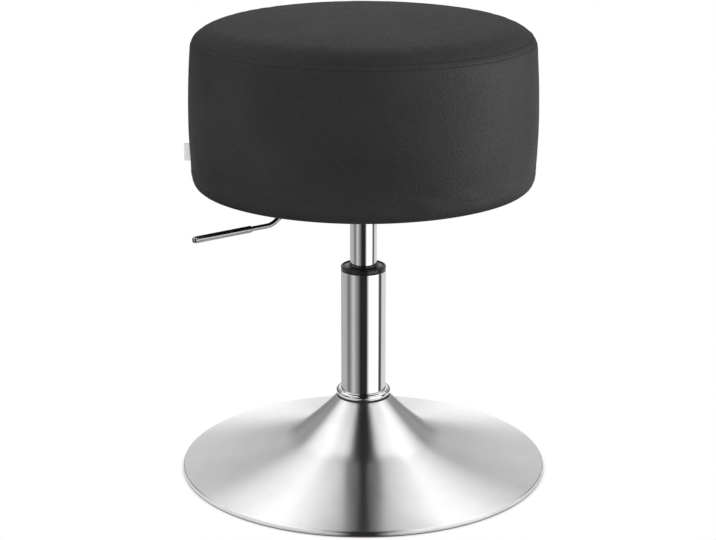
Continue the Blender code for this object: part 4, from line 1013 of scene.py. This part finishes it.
def panel(name, keep, nodes):
    """One panel of the cover: the faces that keep says, with a wall."""
    bm = cover_bm.copy()
    layer = bm.verts.layers.int["ring"]
    away = [face for face in bm.faces if not keep([vert[layer] for vert in face.verts])]
    bmesh.ops.delete(bm, geom=away, context="FACES")
    made = piece(bm, name, "seat", leather_look, nodes, sharp=3.0)
    wall(made, COVER_THICK)
    return made


top_panel = panel("seat_top_panel", lambda found: max(found) <= seam_ring, ["cover_top"])
side_panel = panel("seat_side_panel", lambda found: min(found) >= seam_ring, ["cover_side"])
cover_bm.free()

# %% [markdown]
# ## Stitching
# A row of lockstitches runs round the top panel above the seam. Each stitch is a small lens of thread that
# dips into the cover at both ends and leans a little. There are hundreds, so each has only a few dozen
# faces.

# %% Sew the stitch line
STITCH_PITCH = 4.6 * MM
STITCH_LENGTH = 3.6 * MM
THREAD_RADIUS = 0.42 * MM
STITCH_PROUD = 0.15 * MM
STITCH_LEAN = math.radians(7)
point, normal = outline_at(stitch_run)
stitch_spot = point - normal * (STITCH_DEPTH - STITCH_PROUD)
count = round(TURN * stitch_spot.x / STITCH_PITCH)
outward = Vector((normal.x, 0.0, normal.y))
along = Vector((0.0, 1.0, 0.0))
facing = Matrix((along, outward.cross(along), outward)).transposed().to_4x4()
lean = Matrix.Rotation(STITCH_LEAN, 4, outward)
size = Matrix.Diagonal((THREAD_RADIUS, THREAD_RADIUS, STITCH_LENGTH / 2, 1))
lying = Matrix.Rotation(math.pi / 2, 4, "Y")
spot = Matrix.Translation((stitch_spot.x, 0.0, stitch_spot.y))
bm = bmesh.new()
sewn_place = spot @ lean @ facing @ lying @ size
bmesh.ops.create_uvsphere(bm, u_segments=6, v_segments=6, radius=1.0, matrix=sewn_place)
bmesh.ops.spin(bm, geom=bm.verts[:] + bm.edges[:] + bm.faces[:], axis=(0, 0, 1), cent=(0, 0, 0),
               angle=TURN * (count - 1) / count, steps=count - 1, use_duplicate=True)
piece(bm, "top_stitching", "seat", sewing_thread, sharp=3.0)
print("stitches", count)

# %% [markdown]
# ## Foam
# Inside the cover is one round block of foam on the board. It never shows, but the part stays whole when
# the cover is taken off, so the block follows the cover's inner side.

# %% Turn the foam block
foam_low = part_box("seat_foam")[0].z
FOAM_GAP, FOAM_MARGIN, FOAM_EASE = 2.0 * MM, 1.0 * MM, 1.5 * MM
outline = [(0.0, foam_low)]
sides = []
for distance in rings[1:]:
    point, normal = outline_at(distance)
    inner = point - normal * (FOAM_GAP + sewn_depth(distance))
    if inner.y > foam_low + FOAM_MARGIN and distance < lip_run:
        sides.append(tuple(inner))
outline += [(sides[-1][0] - FOAM_EASE, foam_low)] + sides[::-1] + [(0.0, seat_top - FOAM_GAP)]
bm = turn(outline, 96, closed=False)
foam = piece(bm, "foam_block", "seat", open_foam, ["seat_foam"], sharp=1.0)

# %% [markdown]
# ## Underside cloth and staples
# A round of bonded cloth hides the board and the raw edge of the cover. It is held flat by staples round
# its edge, sags a hair between the staples and the plate, and is only a fraction of a millimetre thick.

# %% Stretch the cloth and staple it
cloth_radius, cloth_low, _ = turned_size("dust_cover")
CLOTH_THICK = 0.35 * MM
CLOTH_LIFT = 0.1 * MM
SAG, SAG_START, SAG_EASE = 0.35 * MM, 108.0 * MM, 16.0 * MM
EDGE_SAG, EDGE_EASE, EDGE_REACH = 0.25 * MM, 10.0 * MM, 14.0 * MM
STAPLE_CIRCLE, STAPLES = 144.6 * MM, 26
STAPLE_SIZE = (0.9 * MM, 9.5 * MM, 0.55 * MM)
STAPLE_DROP = 0.1 * MM
cloth_rings = [cloth_radius * share for share in shares(34)]
bm = turn([(0.0, cloth_low)] + [(radius, cloth_low) for radius in cloth_rings], 156, closed=False)
for vert in bm.verts:
    radius = math.hypot(vert.co.x, vert.co.y)
    angle = math.atan2(vert.co.y, vert.co.x)
    inset = cloth_radius - radius
    open_part = max(0.0, min((radius - SAG_START) / SAG_EASE, inset / EDGE_EASE, 1.0))
    scallop = 0.5 - 0.5 * math.cos(STAPLES * angle)
    edge_part = max(0.0, 1.0 - inset / EDGE_REACH)
    vert.co.z += CLOTH_LIFT
    vert.co.z -= open_part * SAG * (1.0 + noise.noise(vert.co * 40.0)) + edge_part * scallop * EDGE_SAG
if bm.faces[:][0].normal.z > 0:
    bmesh.ops.reverse_faces(bm, faces=bm.faces)
underside_cloth = piece(bm, "underside_cloth", "seat", bonded_cloth, ["dust_cover"], sharp=3.0)
wall(underside_cloth, CLOTH_THICK)
bm = bmesh.new()
for number in range(STAPLES):
    angle = TURN * number / STAPLES
    spin = Matrix.Rotation(angle, 4, "Z") @ Matrix.Translation((STAPLE_CIRCLE, 0, cloth_low - STAPLE_DROP))
    bmesh.ops.create_cube(bm, size=1.0, matrix=spin @ Matrix.Diagonal((*STAPLE_SIZE, 1)))
round_off(bm, sharp_edges(bm, 1.0), 0.18 * MM, 2)
staples = piece(bm, "cloth_staples", "seat", zinc_plate, sharp=0.8)

# %% [markdown]
# ## Side tab
# A short piece of pale tape is folded double and caught in the side seam. It is plain on both faces. The
# fold is a narrow hairpin that is extruded up the tape's width and given a wall.

# %% Fold the tab
tab_low, tab_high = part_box("side_tab")
TAPE_THICK = 0.3 * MM
TAPE_STEPS = 10
SEWN_IN = 0.8 * MM
FOLD_ROOM = 0.02 * MM
FOLD_HALF = (tab_high.y - tab_low.y) / 2 - FOLD_ROOM
TAB_WAVE, TAB_LEAN, TAB_RIPPLE = 0.25 * MM, 0.15 * MM, 0.2 * MM
tab_width = tab_high.z - tab_low.z
fold = edge_arc((tab_low.x + FOLD_HALF, 0.0), FOLD_HALF, math.pi / 2, 3 * math.pi / 2, 8)
hairpin = [(tab_high.x + SEWN_IN, FOLD_HALF)] + fold + [(tab_high.x + SEWN_IN, -FOLD_HALF)]
bm = bmesh.new()
line = [bm.verts.new((across, side, tab_low.z)) for across, side in hairpin]
edges = [bm.edges.new(pair) for pair in zip(line, line[1:])]
for step in range(TAPE_STEPS):
    pushed = bmesh.ops.extrude_edge_only(bm, edges=edges)["geom"]
    moved = [item for item in pushed if isinstance(item, bmesh.types.BMVert)]
    edges = [item for item in pushed if isinstance(item, bmesh.types.BMEdge)
             and all(vert in moved for vert in item.verts)]
    bmesh.ops.translate(bm, vec=(0, 0, tab_width / TAPE_STEPS), verts=moved)
for vert in bm.verts:
    out = max(0.0, (tab_high.x - vert.co.x) / (tab_high.x - tab_low.x))
    tall = (vert.co.z - (tab_low.z + tab_high.z) / 2) / tab_width
    vert.co.y += out * (TAB_WAVE * math.sin(5 * tall) + TAB_LEAN)
    vert.co.z += out * TAB_RIPPLE * math.sin(9 * tall)
bmesh.ops.recalc_face_normals(bm, faces=bm.faces)
side_tape = piece(bm, "side_tape", "seat", woven_tape, ["side_tab"], sharp=3.0)
wall(side_tape, TAPE_THICK)

# %% [markdown]
# ## Finishes for the pieces that stay as they are
# Bearings, the gas spring's inside, the board and the bottom plate keep their CAD shapes, since they are
# plain turned and flat parts. Each takes the procedural finish of its slot.

# %% Give every CAD node the finish of its slot
finish_of_slot = {
    "satin_chrome": spun_chrome, "chrome": polished_chrome, "dark_steel": dark_paint,
    "black_steel": powder_black, "bright_steel": zinc_plate, "rubber": black_rubber,
    "black_plastic": moulded_black, "white_plastic": white_acetal, "leather": leather_look,
    "foam": open_foam, "plywood": ply_layers, "black_cloth": bonded_cloth, "white_cloth": woven_tape,
}
for row in frame["record"]["subparts"]:
    node = frame["nodes"][row["node"]]
    for holder in node.material_slots:
        holder.material = finish_of_slot[row["material_slot"]]

# %% [markdown]
# ## Studio
# Bright metal only looks like metal when it has something to mirror. The world is a plain studio that
# depends on direction alone, so it stays in place when the camera moves: walls round the horizon with a
# dark gap where the camera stands, and above them three rows of soft boxes, the same to the left and to the
# right. Diffuse light is a plain soft light of its own, so that the boxes can be set for the metal alone.
# The camera sees white.

# %% Measure directions in the studio
world = bpy.data.worlds.new("studio")
scene.world = world
world.use_nodes = True
tree = world.node_tree
tree.nodes.clear()
looked = add_node(tree, "TexCoord").outputs["Generated"]
direction = add_node(tree, "SeparateXYZ", None, Vector=looked).outputs
toward = math_node(tree, "MULTIPLY", direction["Y"], -1.0)
bearing = math_node(tree, "ARCTAN2", direction["X"], toward)
round_share = math_node(tree, "MULTIPLY_ADD", bearing, 1 / TURN, 0.5)
sideways = math_node(tree, "ABSOLUTE", bearing)
side_share = math_node(tree, "MULTIPLY", sideways, 1 / math.pi)


def all_round(tree, share, *points):
    """A ramp over bearings in degrees, 0 at the camera and positive to its right."""
    return stops(tree, share, *[(0.5 + degrees / 360, shade) for degrees, shade in points])


def both_sides(tree, share, *points):
    """A ramp over the degrees from the camera's side, the same to the left and to the right."""
    return stops(tree, share, *[(degrees / 180, shade) for degrees, shade in points])


def eased_share(tree, value, start, end):
    """0 at start, 1 at end, with a soft change between."""
    made = add_node(tree, "MapRange", {"interpolation_type": "SMOOTHSTEP"}, Value=value, i1=start, i2=end)
    return made.outputs[0]


# %% Set up the walls and the rows of soft boxes
walls = all_round(
    tree, round_share,
    (-180, 0.50), (-100, 0.50), (-84, 0.22), (-73, 0.22), (-52, 0.65), (-38, 0.36), (-23, 0.15), (-15, 0.025),
    (16, 0.025), (26, 0.9), (32, 1.4), (77, 1.4), (87, 0.06), (97, 0.06), (108, 0.75), (180, 0.78))
low_row = both_sides(
    tree, side_share,
    (12, 0.004), (20, 0.35), (30, 0.65), (70, 0.7), (92, 0.8), (112, 0.6), (132, 0.25), (150, 0.4),
    (164, 0.45), (175, 0.9))
middle_row = both_sides(
    tree, side_share,
    (34, 0.004), (48, 0.35), (68, 0.7), (90, 1.3), (114, 1.6), (132, 1.0), (149, 0.15), (160, 0.6),
    (168, 1.8), (176, 3.4))
high_row = both_sides(
    tree, side_share,
    (22, 0.004), (34, 2.0), (48, 3.2), (70, 2.7), (92, 2.2), (114, 1.8), (132, 1.1), (150, 0.3), (162, 0.004))
BACK_START, BACK_END = math.radians(104), math.radians(116)
DARK_BACK = (0.03, 0.03, 0.03, 1)
DARK_TOP = (0.004, 0.004, 0.004, 1)
DIM_BELOW = (0.12, 0.12, 0.12, 1)
back_bearing = eased_share(tree, sideways, BACK_START, BACK_END)
behind = math_node(tree, "MULTIPLY", back_bearing, eased_share(tree, direction["Z"], -0.16, -0.06))
room = mixed(tree, behind, walls, DARK_BACK)
for start, end, shown_row in ((0.11, 0.21, low_row), (0.49, 0.59, middle_row), (0.69, 0.79, high_row),
                              (0.89, 0.95, DARK_TOP), (-0.36, -0.50, DIM_BELOW)):
    room = mixed(tree, eased_share(tree, direction["Z"], start, end), room, shown_row)

# %% Light diffuse surfaces softly and show the camera white
level = math_node(tree, "MULTIPLY_ADD", direction["Z"], 0.5, 0.5)
soft = stops(tree, level, (0.0, 0.1), (0.25, 0.35), (0.45, 1.2), (0.6, 1.5), (0.75, 1.25), (0.9, 0.3),
             (1.0, 0.2))
left_share = math_node(tree, "MULTIPLY", direction["X"], -1.0)
fill = stops(tree, left_share, (0.0, 1.0), (0.4, 1.1), (0.9, 1.75))
soft = mixed(tree, 1.0, soft, fill, "MULTIPLY")
paths = add_node(tree, "LightPath").outputs
unseen = mixed(tree, paths["Is Diffuse Ray"], room, soft)
seen = mixed(tree, paths["Is Camera Ray"], unseen, (1, 1, 1, 1))
sky = add_node(tree, "Background", None, Color=seen, Strength=1.0)
shown = tree.nodes.new("ShaderNodeOutputWorld")
tree.links.new(sky.outputs[0], shown.inputs["Surface"])
print("studio nodes", len(tree.nodes))

# %% [markdown]
# ## Floor and lamp
# The floor is a pale disc that shows white with the stool's contact shadow, painted in from ambient occlusion
# over a short reach. For bright metal it carries a painted reflection: close to the front of the rim it is
# painted dark, like the studio on the camera's side. Other light bounces off it as off plain grey. One large
# lamp to the right gives the cover its form, and light linking keeps it off the metal.

# %% Make the floor's finish
pale_floor = bpy.data.materials.new("pale_floor")
pale_floor.use_nodes = True
tree = pale_floor.node_tree
tree.nodes.clear()
SHADOW_REACH = 30.0 * MM
MIRROR_DARK, MIRROR_BRIGHT = 195.5 * MM, 198.5 * MM
openness = add_node(tree, "AmbientOcclusion", {"samples": 16}, Distance=SHADOW_REACH).outputs["AO"]
shaded = stops(tree, openness, (0.10, 0.05), (0.78, 1.0))
spot = add_node(tree, "SeparateXYZ", None, Vector=place(tree)).outputs
aside = math_node(tree, "ARCTAN2", spot["X"], math_node(tree, "MULTIPLY", spot["Y"], -1.0))
aside_share = math_node(tree, "MULTIPLY", math_node(tree, "ABSOLUTE", aside), 1 / math.pi)
# Painted reflection: for mirror rays the floor is darkened in a sector in front of the rim, so the rim's lip
# mirrors a dark line.
near_rim = both_sides(tree, aside_share, (9, 0.03), (21, 0.25), (32, 0.6), (60, 0.9), (100, 1.0))
further = both_sides(tree, aside_share, (4, 0.03), (9, 1.0))
out = add_node(tree, "VectorMath", {"operation": "LENGTH"}, i0=place(tree)).outputs["Value"]
out_share = add_node(tree, "MapRange", None, Value=out, i1=MIRROR_DARK, i2=MIRROR_BRIGHT).outputs[0]
mirrored = mixed(tree, 1.0, shaded, mixed(tree, out_share, near_rim, further), "MULTIPLY")
paths = add_node(tree, "LightPath").outputs
seen = mixed(tree, paths["Is Glossy Ray"], shaded, mirrored)
glow = add_node(tree, "Emission", None, Color=seen, Strength=1.0)
plain = add_node(tree, "BsdfDiffuse", None, Color=(0.5, 0.5, 0.5, 1))
either = math_node(tree, "MAXIMUM", paths["Is Camera Ray"], paths["Is Glossy Ray"])
lit = add_node(tree, "MixShader", None, Fac=either, i1=plain.outputs[0], i2=glow.outputs[0])
shown = tree.nodes.new("ShaderNodeOutputMaterial")
tree.links.new(lit.outputs[0], shown.inputs["Surface"])
print("floor nodes", len(tree.nodes))

# %% Lay the floor
FLOOR_RADIUS = 0.25
FLOOR_LEVEL = -0.2 * MM
bm = bmesh.new()
bmesh.ops.create_circle(bm, cap_ends=True, segments=96, radius=FLOOR_RADIUS,
                        matrix=Matrix.Translation((0, 0, FLOOR_LEVEL)))
mesh = bpy.data.meshes.new("floor")
bm.to_mesh(mesh)
bm.free()
mesh.materials.append(pale_floor)
floor = bpy.data.objects.new("floor", mesh)
scene.collection.objects.link(floor)
print("floor radius", FLOOR_RADIUS, "m")

# %% Hang one soft lamp for the cover
LAMP_PLACE = Vector((2.0, -0.2, 0.45))
LAMP_AIM = Vector((0.0, 0.0, 0.40))
lamp_data = bpy.data.lights.new("soft_lamp", "AREA")
lamp_data.size = 1.2
lamp_data.energy = 40.0
lamp = bpy.data.objects.new("soft_lamp", lamp_data)
lamp.location = LAMP_PLACE
lamp.rotation_euler = (LAMP_AIM - LAMP_PLACE).to_track_quat("-Z", "Y").to_euler()
lit_pieces = bpy.data.collections.new("lit_by_lamp")
for lit_piece in (top_panel, side_panel, side_tape):
    lit_pieces.objects.link(lit_piece)
lamp.light_linking.receiver_collection = lit_pieces
scene.collection.objects.link(lamp)
